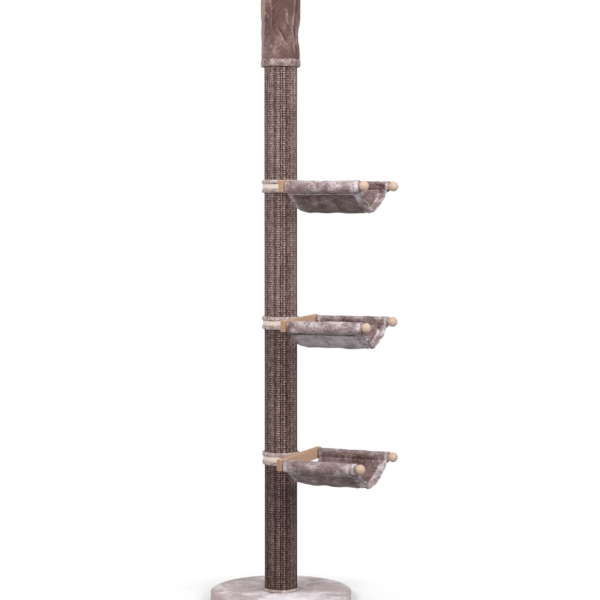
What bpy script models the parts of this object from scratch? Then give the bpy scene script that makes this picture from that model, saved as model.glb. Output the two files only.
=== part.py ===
"""Floor-to-ceiling cat tree: a round plush base, a sisal post in four tubes, a screw tensioner under
a plush sleeve, and three plush slings, each on a wooden frame that a webbing strap holds to the post.

Metres, +Z up. The origin is on the floor at the post's axis, and the slings reach out along +X.
"""

import math

import bmesh
import bpy
from mathutils import Matrix, Vector

# Driving dimensions
BASE_RADIUS = 0.300
BASE_HEIGHT = 0.040
POST_RADIUS = 0.0692
TUBE_PITCH = 0.574  # from one joint of the post to the next
STRAP_DROP = 0.0065  # from a joint of the post down to the middle of the strap that covers it
TUBE_COUNT = 4
DOWEL_SPACING = 0.380
BALL_REACH = 0.436  # from the post's axis to the ball on a dowel's end
CEILING = 2.620
GAP = 0.0003  # clearance that touching pieces keep
ROUND = 32  # facets round the post and what encloses it

# Base
PLUSH = 0.0032  # pressed thickness of the plush on the boards
GRIP_THICKNESS = 0.003
HEM_WIDTH = 0.028
BOLT_CIRCLE = 0.034
BOLT_ANGLES = (90, 210, 330)
BOLT_RADIUS = 0.004
BOLT_HOLE = 0.0046
BOLT_HEAD = 0.0095
BOLT_POCKET = 0.0115
POCKET_TOP = 0.012

# Post
TUBE_INNER = 0.0590
TUBE_OUTER = 0.0645
PLUG_RADIUS = TUBE_INNER - GAP
PLUG_THICKNESS = 0.045
STUD_RADIUS = 0.005
STUD_HOLE = 0.0054
STUD_HALF = 0.040

# Ceiling tensioner
ROD_RADIUS = 0.0098
ROD_HOLE = 0.0106
ROD_BOTTOM = 2.085
NUT_RADIUS = 0.031
NUT_LOBES = 6
NUT_HEIGHT = 0.026
THRUST_RADIUS = 0.030
THRUST_THICKNESS = 0.004
CEILING_RADIUS = 0.0810
CEILING_BOARD = 0.018
SLEEVE_BOTTOM = 2.254

# Sling frames, in a frame of their own: +X out from the post, +Y along the crossbar
SLING_NAMES = ("low", "middle", "top")
SLING_TURNS = (-2.0, 2.0, 0.0)  # degrees about the post
SLING_SAGS = (0.106, 0.095, 0.115)  # from the dowels' axis to the cloth's lowest line
LINING = (0.0699, 0.0709)  # inner and outer radius
LINING_HALF = 0.025
PAD_INNER = 0.0716
PAD_WAIST = 0.0730
PAD_BULGE = 0.0795
PAD_HALF = 0.0275
WAIST_HALF = 0.0127
STRAP_THICKNESS = 0.0015
STRAP_INNER = PAD_WAIST + 0.0004
STRAP_LINE = STRAP_INNER + STRAP_THICKNESS / 2
STRAP_HALF = 0.010
STRAP_TAB_END = 0.102
BAR_BACK = STRAP_INNER + STRAP_THICKNESS + GAP
BAR_THICKNESS = 0.022
BAR_LENGTH = 0.430
BAR_HEIGHT = 0.048
BAR_EDGE = 0.003
DOWEL_RADIUS = 0.016
TENON_RADIUS = 0.010
TENON_HOLE = 0.0106
TENON_DEPTH = 0.012
BALL_RADIUS = 0.021
TUNNEL_RADIUS = 0.0215
TUNNEL_BORE = 0.0166
CLOTH = 0.005
SEAM = (0.027, 0.036)  # from a dowel's axis to the seam that closes its tunnel: inward and down
SLING_START = 0.101
SLING_END = 0.420
BUCKLE_TURN = 125  # degrees round the post from the sling's own direction
BUCKLE_HALF = 0.012
BUCKLE_INNER = STRAP_HALF + 0.0007
BUCKLE_OUTER = BUCKLE_INNER + 0.0014
BUCKLE_PLATE = 0.0012
CAM_AXIS = 0.0815
CAM_RADIUS = 0.005
CAM_PIN = 0.0018
CAM_HOLE = 0.0022


def clear_scene():
    for old in list(bpy.data.objects):
        bpy.data.objects.remove(old)


def finish_material(name, colour, roughness, metallic=0.0):
    made = bpy.data.materials.new(name)
    made.use_nodes = True
    shader = made.node_tree.nodes["Principled BSDF"]
    shader.inputs["Base Color"].default_value = (*colour, 1.0)
    shader.inputs["Roughness"].default_value = roughness
    shader.inputs["Metallic"].default_value = metallic
    return made


def add_object(name, mesh, material, parent=None, smooth=True):
    bmesh.ops.recalc_face_normals(mesh, faces=mesh.faces)
    data = bpy.data.meshes.new(name)
    mesh.to_mesh(data)
    mesh.free()
    data.materials.append(material)
    if smooth:
        data.shade_smooth()
        data.set_sharp_from_angle(angle=math.radians(35))
    made = bpy.data.objects.new(name, data)
    bpy.context.scene.collection.objects.link(made)
    made.parent = parent
    return made


def section_wire(mesh, points, place):
    """Adds a closed loop of edges through the section's points."""
    corners = [mesh.verts.new(place(*point)) for point in points]
    pairs = zip(corners, corners[1:] + corners[:1])
    return corners, [mesh.edges.new(pair) for pair in pairs]


def turned(name, section, material, parent=None, facets=ROUND, about_x=False):
    """Turns a closed section of (distance along the axis, radius) about the Z axis or the X axis."""
    mesh = bmesh.new()
    if about_x:
        axis = (1, 0, 0)
        corners, edges = section_wire(mesh, section, lambda along, radius: (along, 0, radius))
    else:
        axis = (0, 0, 1)
        corners, edges = section_wire(mesh, section, lambda along, radius: (radius, 0, along))
    bmesh.ops.spin(
        mesh, geom=corners + edges, axis=axis, cent=(0, 0, 0), steps=facets, angle=math.tau, use_merge=True
    )
    bmesh.ops.remove_doubles(mesh, verts=mesh.verts, dist=1e-6)
    bmesh.ops.dissolve_degenerate(mesh, edges=mesh.edges, dist=1e-6)
    return add_object(name, mesh, material, parent)


def ring(name, inner, outer, bottom, top, material, parent=None):
    section = [(bottom, inner), (bottom, outer), (top, outer), (top, inner)]
    return turned(name, section, material, parent)


def disc(name, radius, bottom, top, material, parent=None, facets=ROUND, edge=0.001):
    """A round board with a small chamfer on both rims."""
    section = [
        (bottom, 0),
        (bottom, radius - edge),
        (bottom + edge, radius),
        (top - edge, radius),
        (top, radius - edge),
        (top, 0),
    ]
    return turned(name, section, material, parent, facets)


def extruded(name, outline, low, high, place, material, parent=None):
    """A flat outline made solid from low to high. place turns (u, v, depth) into a point."""
    mesh = bmesh.new()
    face = mesh.faces.new([mesh.verts.new(place(u, v, low)) for u, v in outline])
    pushed = bmesh.ops.extrude_face_region(mesh, geom=[face])["geom"]
    shift = Vector(place(0, 0, high)) - Vector(place(0, 0, low))
    bmesh.ops.translate(mesh, vec=shift, verts=[v for v in pushed if isinstance(v, bmesh.types.BMVert)])
    return add_object(name, mesh, material, parent)


def cylinder_cutter(name, radius, low, high, axis="Z", centre=(0, 0), facets=16, parent=None):
    """A hidden round tool for a Boolean, along Z or X. centre is its place across that axis."""
    mesh = bmesh.new()
    bmesh.ops.create_cone(
        mesh, cap_ends=True, segments=facets, radius1=radius, radius2=radius, depth=high - low
    )
    middle = (low + high) / 2
    if axis == "X":
        bmesh.ops.rotate(mesh, verts=mesh.verts, matrix=Matrix.Rotation(math.pi / 2, 3, "Y"))
        place = (middle, *centre)
    else:
        place = (*centre, middle)
    bmesh.ops.translate(mesh, verts=mesh.verts, vec=place)
    tool = add_object(name, mesh, TOOL, parent, smooth=False)
    tool.hide_render = True
    tool.display_type = "WIRE"
    return tool


def boolean(target, tool, operation="DIFFERENCE"):
    step = target.modifiers.new(tool.name, "BOOLEAN")
    step.operation = operation
    step.solver = "EXACT"
    step.object = tool


def drill(target, radius, low, high, **where):
    boolean(target, cylinder_cutter(f"{target.name}_hole_{len(target.modifiers)}", radius, low, high, **where))


def on_circle(radius, degrees):
    angle = math.radians(degrees)
    return radius * math.cos(angle), radius * math.sin(angle)


def build_base():
    """A round board in a plush cover, on a non-slip sheet, with three bolts up into the post."""
    board_bottom = GRIP_THICKNESS + GAP
    board_top = BASE_HEIGHT - PLUSH - GAP
    board_radius = BASE_RADIUS - PLUSH - GAP
    board = disc("base_board", board_radius, board_bottom, board_top, BOARD, facets=64, edge=0.002)
    hem_inner = BASE_RADIUS - HEM_WIDTH
    inside = BASE_RADIUS - PLUSH
    cover = turned(
        "base_plush_cover",
        [
            (BASE_HEIGHT, 0),
            (BASE_HEIGHT, BASE_RADIUS - 0.0035),
            (BASE_HEIGHT - 0.0025, BASE_RADIUS - 0.001),
            (BASE_HEIGHT - 0.006, BASE_RADIUS),
            (0.004, BASE_RADIUS),
            (GAP, BASE_RADIUS - 0.002),
            (GAP, hem_inner),
            (GRIP_THICKNESS, hem_inner),
            (GRIP_THICKNESS, inside),
            (BASE_HEIGHT - PLUSH, inside),
            (BASE_HEIGHT - PLUSH, 0),
        ],
        PLUSH_PALE,
        facets=64,
    )
    grip = disc("base_grip_pad", hem_inner - 0.0005, 0, GRIP_THICKNESS - GAP, GRIP, facets=64, edge=0.0005)
    for number, angle in enumerate(BOLT_ANGLES, 1):
        centre = on_circle(BOLT_CIRCLE, angle)
        drill(board, BOLT_HOLE, 0, BASE_HEIGHT, centre=centre)
        drill(board, BOLT_POCKET, -0.01, POCKET_TOP, centre=centre)
        drill(cover, BOLT_HOLE, 0.02, 0.05, centre=centre)
        drill(grip, BOLT_POCKET + 0.0005, -0.01, 0.01, centre=centre)
        build_bolt(number, centre)


def build_bolt(number, centre):
    """A cap-head bolt with a hexagon socket."""
    head_top = POCKET_TOP - GAP
    head_bottom = head_top - 0.007
    tip = BASE_HEIGHT + 0.038
    bolt = turned(
        f"base_bolt_{number}",
        [
            (head_bottom, 0),
            (head_bottom, BOLT_HEAD - 0.001),
            (head_bottom + 0.001, BOLT_HEAD),
            (head_top, BOLT_HEAD),
            (head_top, BOLT_RADIUS),
            (tip - 0.001, BOLT_RADIUS),
            (tip, BOLT_RADIUS - 0.001),
            (tip, 0),
        ],
        STEEL,
        facets=16,
    )
    bolt.location = (*centre, 0)
    socket = cylinder_cutter(f"socket_{number}", 0.0036, 0, head_bottom + 0.004, centre=centre, facets=6)
    boolean(bolt, socket)


def build_post():
    """Four cardboard tubes in woven sisal, with wooden plugs in their ends and studs between them."""
    for index in range(TUBE_COUNT):
        bottom = BASE_HEIGHT + index * TUBE_PITCH + GAP
        top = bottom + TUBE_PITCH - 0.0008
        ring(f"post_tube_{index + 1}", TUBE_INNER, TUBE_OUTER, bottom, top, CARDBOARD)
        ring(f"sisal_wrap_{index + 1}", TUBE_OUTER + GAP, POST_RADIUS, bottom, top, SISAL)
        if index < TUBE_COUNT - 1:
            build_joint(index + 1, top)
    foot = disc("foot_plug", PLUG_RADIUS, BASE_HEIGHT + GAP, BASE_HEIGHT + PLUG_THICKNESS, BOARD)
    for angle in BOLT_ANGLES:
        drill(foot, BOLT_HOLE, 0, 0.2, centre=on_circle(BOLT_CIRCLE, angle), facets=12)
    head_top = post_top()
    head = disc("head_plug", PLUG_RADIUS, head_top - PLUG_THICKNESS, head_top, BOARD)
    drill(head, ROD_HOLE, head_top - 0.2, head_top + 0.1, facets=24)
    inner = POST_RADIUS + GAP
    low = BASE_HEIGHT + GAP
    turned(
        "foot_trim",
        [
            (low, inner),
            (low, inner + 0.0055),
            (low + 0.004, inner + 0.0075),
            (low + 0.009, inner + 0.0060),
            (low + 0.012, inner + 0.0025),
            (low + 0.012, inner),
        ],
        PLUSH_TRIM,
    )


def post_top():
    return BASE_HEIGHT + TUBE_COUNT * TUBE_PITCH


def build_joint(number, level):
    """The plug in the lower tube, the plug in the upper tube, and the stud that draws them together."""
    above = level + 0.0008
    plugs = (
        disc(f"joint_plug_lower_{number}", PLUG_RADIUS, level - PLUG_THICKNESS, level, BOARD),
        disc(f"joint_plug_upper_{number}", PLUG_RADIUS, above, above + PLUG_THICKNESS, BOARD),
    )
    for plug in plugs:
        drill(plug, STUD_HOLE, level - 0.1, level + 0.1, facets=12)
    disc(
        f"joint_stud_{number}", STUD_RADIUS, level - STUD_HALF, level + STUD_HALF, STEEL, facets=12, edge=0.001
    )


def build_tensioner():
    """The rod, its nut and seat on the post, and the padded plate that it presses to the ceiling."""
    seat = post_top() + GAP
    nut_bottom = seat + THRUST_THICKNESS + GAP
    ring("thrust_plate", ROD_HOLE, THRUST_RADIUS, seat, seat + THRUST_THICKNESS, STEEL)
    build_nut(nut_bottom)
    board_top = CEILING - PLUSH - GAP
    board_bottom = board_top - CEILING_BOARD
    board_radius = CEILING_RADIUS - PLUSH - GAP
    disc("ceiling_board", board_radius, board_bottom, board_top, BOARD)
    flange_top = board_bottom - GAP
    flange_bottom = flange_top - 0.004
    hub_bottom = flange_bottom - 0.020
    pocket = flange_top - 0.004
    turned(
        "rod_socket",
        [
            (flange_top, 0),
            (flange_top, 0.040),
            (flange_bottom, 0.040),
            (flange_bottom, 0.016),
            (hub_bottom, 0.016),
            (hub_bottom, ROD_HOLE),
            (pocket, ROD_HOLE),
            (pocket, 0),
        ],
        STEEL,
    )
    rod_top = pocket - GAP
    disc("tension_rod", ROD_RADIUS, ROD_BOTTOM, rod_top, STEEL, facets=24, edge=0.0015)
    turned(
        "ceiling_plush_cover",
        [
            (CEILING, 0),
            (CEILING, CEILING_RADIUS - 0.003),
            (CEILING - 0.003, CEILING_RADIUS),
            (board_bottom, CEILING_RADIUS),
            (board_bottom, CEILING_RADIUS - PLUSH),
            (CEILING - PLUSH, CEILING_RADIUS - PLUSH),
            (CEILING - PLUSH, 0),
        ],
        PLUSH_BROWN,
    )
    build_sleeve()


def build_nut(bottom):
    """A hand wheel with rounded lobes and a threaded bore, modelled as a plain hole."""
    outline = []
    steps = 8 * NUT_LOBES
    for step in range(steps):
        angle = math.tau * step / steps
        radius = NUT_RADIUS - 0.0025 + 0.0025 * math.cos(NUT_LOBES * angle)
        outline.append((radius * math.cos(angle), radius * math.sin(angle)))
    nut = extruded(
        "tension_nut", outline, bottom, bottom + NUT_HEIGHT, lambda u, v, depth: (u, v, depth), STEEL
    )
    drill(nut, ROD_HOLE, bottom - 0.01, bottom + NUT_HEIGHT + 0.01, facets=24)


def build_sleeve():
    """The plush tube from the ceiling plate down over the post, with a thick gathered hem."""
    hem_top = SLEEVE_BOTTOM + 0.033
    inner_hem = POST_RADIUS + 0.0008
    wall = 0.0034
    stations = [
        (hem_top + 0.008, 0.0815),
        (2.345, 0.0795),
        (2.410, 0.0790),
        (2.500, 0.0830),
        (CEILING - 0.008, 0.0848),
    ]
    outer = [
        (SLEEVE_BOTTOM, 0.0815),
        (SLEEVE_BOTTOM + 0.006, 0.0838),
        (hem_top - 0.005, 0.0838),
        *stations,
    ]
    inner = [(level, radius - wall) for level, radius in reversed(stations)]
    section = [(SLEEVE_BOTTOM, inner_hem), *outer, *inner, (hem_top, inner_hem)]
    turned("ceiling_sleeve", section, PLUSH_BROWN)


def build_sling_frame(index):
    """One sling with its frame, strap, pad and buckle, hung on an empty at its height on the post."""
    name = SLING_NAMES[index]
    hub = bpy.data.objects.new(f"sling_hub_{name}", None)
    bpy.context.scene.collection.objects.link(hub)
    hub.location = (0, 0, BASE_HEIGHT + (index + 1) * TUBE_PITCH - STRAP_DROP)
    hub.rotation_euler = (0, 0, math.radians(SLING_TURNS[index]))
    ring(f"strap_lining_{name}", *LINING, -LINING_HALF, LINING_HALF, GRIP, hub)
    build_pad(name, hub)
    build_strap(name, hub)
    build_buckle(name, hub)
    build_crossbar(name, hub)
    for side, place in (("front", -DOWEL_SPACING / 2), ("rear", DOWEL_SPACING / 2)):
        build_dowel(f"dowel_{side}_{name}", place, hub)
    build_sling(name, SLING_SAGS[index], hub)


def build_pad(name, hub):
    """A plush band that the strap draws in at the middle. It lies flat where the crossbar presses it."""
    upper = [
        (WAIST_HALF, PAD_WAIST),
        (WAIST_HALF + 0.0025, PAD_BULGE - 0.0015),
        (WAIST_HALF + 0.0060, PAD_BULGE),
        (PAD_HALF - 0.0035, PAD_BULGE - 0.0020),
        (PAD_HALF, PAD_WAIST + 0.0010),
        (PAD_HALF, PAD_INNER),
    ]
    lower = [(-height, radius) for height, radius in reversed(upper)]
    pad = turned(f"strap_pad_{name}", lower + upper, PLUSH_TRIM, hub)
    for vertex in pad.data.vertices:
        vertex.co.x = min(vertex.co.x, BAR_BACK - GAP)


def offset_outline(line, half):
    """The outline of a strip that follows an open line of points, half wide on each side."""
    left, right = [], []
    for i, point in enumerate(line):
        before = (point - line[i - 1]).normalized() if i else None
        after = (line[i + 1] - point).normalized() if i < len(line) - 1 else None
        ahead = ((before or after) + (after or before)).normalized()
        side = Vector((-ahead.y, ahead.x))
        reach = half / max(0.5, ahead.dot(after or before))
        left.append(point + side * reach)
        right.append(point - side * reach)
    return [tuple(p) for p in left + right[::-1]]


def build_strap(name, hub):
    """Webbing round the pad, with a flat stretch in the buckle and both ends folded onto the crossbar."""
    tab = BAR_BACK - GAP - STRAP_THICKNESS / 2
    buckle_line = STRAP_LINE + BUCKLE_PLATE
    step = 360 / ROUND
    line = [Vector((tab, STRAP_TAB_END)), Vector((tab, STRAP_LINE))]
    turn = 90.0
    while turn <= 270:
        if abs(turn - BUCKLE_TURN) > 18:
            line.append(Vector(on_circle(STRAP_LINE, turn)))
        elif abs(turn - BUCKLE_TURN) < step / 2:
            across = math.degrees(math.atan2(BUCKLE_HALF + 0.001, buckle_line))
            flat_reach = math.hypot(BUCKLE_HALF + 0.001, buckle_line)
            line.append(Vector(on_circle(flat_reach, BUCKLE_TURN - across)))
            line.append(Vector(on_circle(flat_reach, BUCKLE_TURN + across)))
        turn += step
    line += [Vector((tab, -STRAP_LINE)), Vector((tab, -STRAP_TAB_END))]
    outline = offset_outline(line, STRAP_THICKNESS / 2)
    extruded(
        f"strap_{name}", outline, -STRAP_HALF, STRAP_HALF, lambda u, v, depth: (u, v, depth), WEBBING, hub
    )


def build_buckle(name, hub):
    """A cam buckle: a channel under and beside the strap, and a thumb cam on trunnions over it."""
    plate_inner = PAD_WAIST + GAP
    plate_outer = plate_inner + BUCKLE_PLATE
    ear = CAM_AXIS + 0.0045
    channel = [
        (-BUCKLE_OUTER, plate_inner),
        (BUCKLE_OUTER, plate_inner),
        (BUCKLE_OUTER, ear),
        (BUCKLE_INNER, ear),
        (BUCKLE_INNER, plate_outer),
        (-BUCKLE_INNER, plate_outer),
        (-BUCKLE_INNER, ear),
        (-BUCKLE_OUTER, ear),
    ]
    seat = bpy.data.objects.new(f"buckle_seat_{name}", None)
    bpy.context.scene.collection.objects.link(seat)
    seat.parent = hub
    seat.rotation_euler = (0, 0, math.radians(BUCKLE_TURN - 90))
    frame = extruded(
        f"buckle_frame_{name}",
        channel,
        -BUCKLE_HALF,
        BUCKLE_HALF,
        lambda height, out, along: (along, out, height),
        STEEL,
        seat,
    )
    drill(frame, CAM_HOLE, -0.02, 0.02, centre=(0, CAM_AXIS), facets=12, parent=seat)
    cam = extruded(
        f"buckle_cam_{name}",
        cam_outline(),
        -STRAP_HALF,
        STRAP_HALF,
        lambda along, out, height: (along, out - CAM_AXIS, height),
        STEEL,
        seat,
    )
    cam.location = (0, CAM_AXIS, 0)
    pin_half = BUCKLE_OUTER - GAP
    pin = cylinder_cutter(
        f"cam_pin_{name}", CAM_PIN, -pin_half, pin_half, centre=(0, CAM_AXIS), facets=10, parent=seat
    )
    boolean(cam, pin, "UNION")


def cam_outline():
    """The cam's round body and its flat thumb lever, in (along the strap, out from the post)."""
    points = [
        (CAM_RADIUS * math.cos(math.radians(a)), CAM_AXIS + CAM_RADIUS * math.sin(math.radians(a)))
        for a in range(75, 341, 24)
    ]
    lever = [(0.024, CAM_AXIS + 0.0045), (0.0245, CAM_AXIS + 0.0062), (0.0235, CAM_AXIS + 0.0068)]
    return points + lever


def build_crossbar(name, hub):
    """The wooden bar across the post, with a blind hole for each dowel's tenon."""
    mesh = bmesh.new()
    bmesh.ops.create_cube(mesh, size=1)
    bmesh.ops.scale(mesh, vec=(BAR_THICKNESS, BAR_LENGTH, BAR_HEIGHT), verts=mesh.verts)
    bmesh.ops.translate(mesh, vec=(BAR_BACK + BAR_THICKNESS / 2, 0, 0), verts=mesh.verts)
    bmesh.ops.bevel(
        mesh, geom=mesh.edges[:], offset=BAR_EDGE, segments=2, profile=0.5, affect="EDGES", clamp_overlap=True
    )
    bar = add_object(f"crossbar_{name}", mesh, WOOD, hub)
    face = BAR_BACK + BAR_THICKNESS
    for place in (-DOWEL_SPACING / 2, DOWEL_SPACING / 2):
        drill(bar, TENON_HOLE, face - TENON_DEPTH, face + 0.01, axis="X", centre=(place, 0), parent=hub)


def build_dowel(name, place, hub):
    """A dowel with a tenon at the crossbar and a ball on its free end."""
    shoulder = BAR_BACK + BAR_THICKNESS + GAP
    tenon_end = shoulder - TENON_DEPTH + 0.001
    section = [(tenon_end, 0), (tenon_end, TENON_RADIUS), (shoulder, TENON_RADIUS), (shoulder, DOWEL_RADIUS)]
    neck = math.degrees(math.asin(DOWEL_RADIUS / BALL_RADIUS))
    steps = 6
    for step in range(steps + 1):
        angle = math.radians(180 - neck - (180 - neck) * step / steps)
        radius = BALL_RADIUS * math.sin(angle) if step < steps else 0
        section.append((BALL_REACH + BALL_RADIUS * math.cos(angle), radius))
    dowel = turned(name, section, WOOD_PALE, hub, facets=28, about_x=True)
    dowel.location = (0, place, 0)


def build_sling(name, sag, hub):
    """Plush cloth that wraps each dowel in a drop-shaped tunnel and hangs in a curve between the seams."""
    centre = DOWEL_SPACING / 2
    inward, down = SEAM
    seam_turn = math.degrees(math.atan2(-down, -inward)) % 360
    tangent = math.degrees(math.acos(TUNNEL_RADIUS / math.hypot(inward, down)))

    def hang(reach, height, depth):
        """Points of a parabola from one seam to the other."""
        count = 14
        points = []
        for i in range(count + 1):
            across = -reach + 2 * reach * i / count
            points.append((across, -depth + (depth + height) * (across / reach) ** 2))
        return points

    under = hang(centre - inward + CLOTH / 2, -down - CLOTH / 3, sag)
    over = hang(centre - inward - CLOTH / 2, -down + CLOTH / 3, sag - CLOTH)
    steps = 12
    first, last = seam_turn + tangent - 360, seam_turn - tangent
    turns = [first + (last - first) * i / steps for i in range(steps + 1)]
    around = [(centre + along, up) for along, up in (on_circle(TUNNEL_RADIUS, turn) for turn in turns)]
    mirrored = [(-across, up) for across, up in reversed(around)]
    outline = under + around + over[::-1] + mirrored
    sling = extruded(
        f"sling_{name}", outline, SLING_START, SLING_END, lambda u, v, depth: (depth, u, v), PLUSH_BROWN, hub
    )
    for place in (-centre, centre):
        drill(sling, TUNNEL_BORE, 0.05, 0.5, axis="X", centre=(place, 0), facets=24, parent=hub)


clear_scene()
TOOL = finish_material("tool", (0.5, 0.5, 0.5), 0.5)
PLUSH_BROWN = finish_material("plush_brown", (0.33, 0.28, 0.28), 0.95)
PLUSH_TRIM = finish_material("plush_trim", (0.26, 0.21, 0.20), 0.95)
PLUSH_PALE = finish_material("plush_pale", (0.62, 0.58, 0.59), 0.95)
SISAL = finish_material("sisal", (0.19, 0.145, 0.13), 0.9)
WEBBING = finish_material("webbing", (0.75, 0.64, 0.55), 0.85)
WOOD = finish_material("wood", (0.45, 0.29, 0.19), 0.6)
WOOD_PALE = finish_material("wood_pale", (0.66, 0.51, 0.38), 0.5)
BOARD = finish_material("board", (0.55, 0.42, 0.28), 0.8)
CARDBOARD = finish_material("cardboard", (0.42, 0.31, 0.20), 0.9)
GRIP = finish_material("grip", (0.08, 0.08, 0.08), 0.9)
STEEL = finish_material("steel", (0.55, 0.55, 0.56), 0.35, 1.0)
build_base()
build_post()
build_tensioner()
for sling_index in range(len(SLING_NAMES)):
    build_sling_frame(sling_index)
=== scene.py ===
"""The looks of a floor-to-ceiling cat tree: plush, woven sisal, webbing, wood and plated steel.

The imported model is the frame. Every soft piece is made here, in metres, in the model's own frame: +Z up the
post and +X out over the slings. Hard pieces keep their solids and get their finishes here.
"""

import logging
import math
from abc import ABC, abstractmethod
from dataclasses import dataclass, field
from enum import Enum

import bpy
import numpy as np
from mathutils import Matrix, Vector

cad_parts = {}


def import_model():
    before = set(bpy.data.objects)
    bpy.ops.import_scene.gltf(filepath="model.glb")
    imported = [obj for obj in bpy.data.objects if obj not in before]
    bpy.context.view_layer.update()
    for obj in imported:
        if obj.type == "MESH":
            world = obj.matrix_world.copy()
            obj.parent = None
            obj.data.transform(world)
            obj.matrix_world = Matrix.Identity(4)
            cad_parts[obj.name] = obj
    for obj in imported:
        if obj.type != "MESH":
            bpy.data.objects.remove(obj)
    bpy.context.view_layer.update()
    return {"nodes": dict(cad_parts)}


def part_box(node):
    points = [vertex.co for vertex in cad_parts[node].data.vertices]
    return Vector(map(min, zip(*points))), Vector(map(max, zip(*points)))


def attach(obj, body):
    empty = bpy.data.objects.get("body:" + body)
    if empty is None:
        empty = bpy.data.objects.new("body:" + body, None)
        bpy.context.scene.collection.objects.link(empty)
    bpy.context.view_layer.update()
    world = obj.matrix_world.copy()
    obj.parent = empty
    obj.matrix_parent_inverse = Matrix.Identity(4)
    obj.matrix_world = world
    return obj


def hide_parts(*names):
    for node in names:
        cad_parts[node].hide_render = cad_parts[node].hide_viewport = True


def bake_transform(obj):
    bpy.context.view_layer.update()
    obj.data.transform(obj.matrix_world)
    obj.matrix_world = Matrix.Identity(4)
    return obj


LOG = logging.getLogger("cat_tree")

Colour = tuple[float, float, float, float]
Feed = bpy.types.NodeSocket | float | tuple
NAP_AND_SHADE = "nap"  # the attribute that carries a piece's nap and its painted light and shade, from -1, dark, to 1, light
CLEARANCE = 0.0003  # the gap that touching pieces keep


def srgb(red: int, green: int, blue: int) -> Colour:
    """Turns a colour of 0 to 255 into the linear colour that a shader takes.

    Args:
        red: Red, from 0 to 255.
        green: Green, from 0 to 255.
        blue: Blue, from 0 to 255.

    Returns:
        The linear colour, with full alpha.
    """
    linear = []
    for value in (red, green, blue):
        share = value / 255
        linear.append(share / 12.92 if share <= 0.04045 else ((share + 0.055) / 1.055) ** 2.4)
    return (*linear, 1.0)


def polar(radius: float, turn: float) -> tuple[float, float]:
    """Returns the point at that radius and turn, in degrees, round the origin."""
    return radius * math.cos(math.radians(turn)), radius * math.sin(math.radians(turn))


# Finishes


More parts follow.
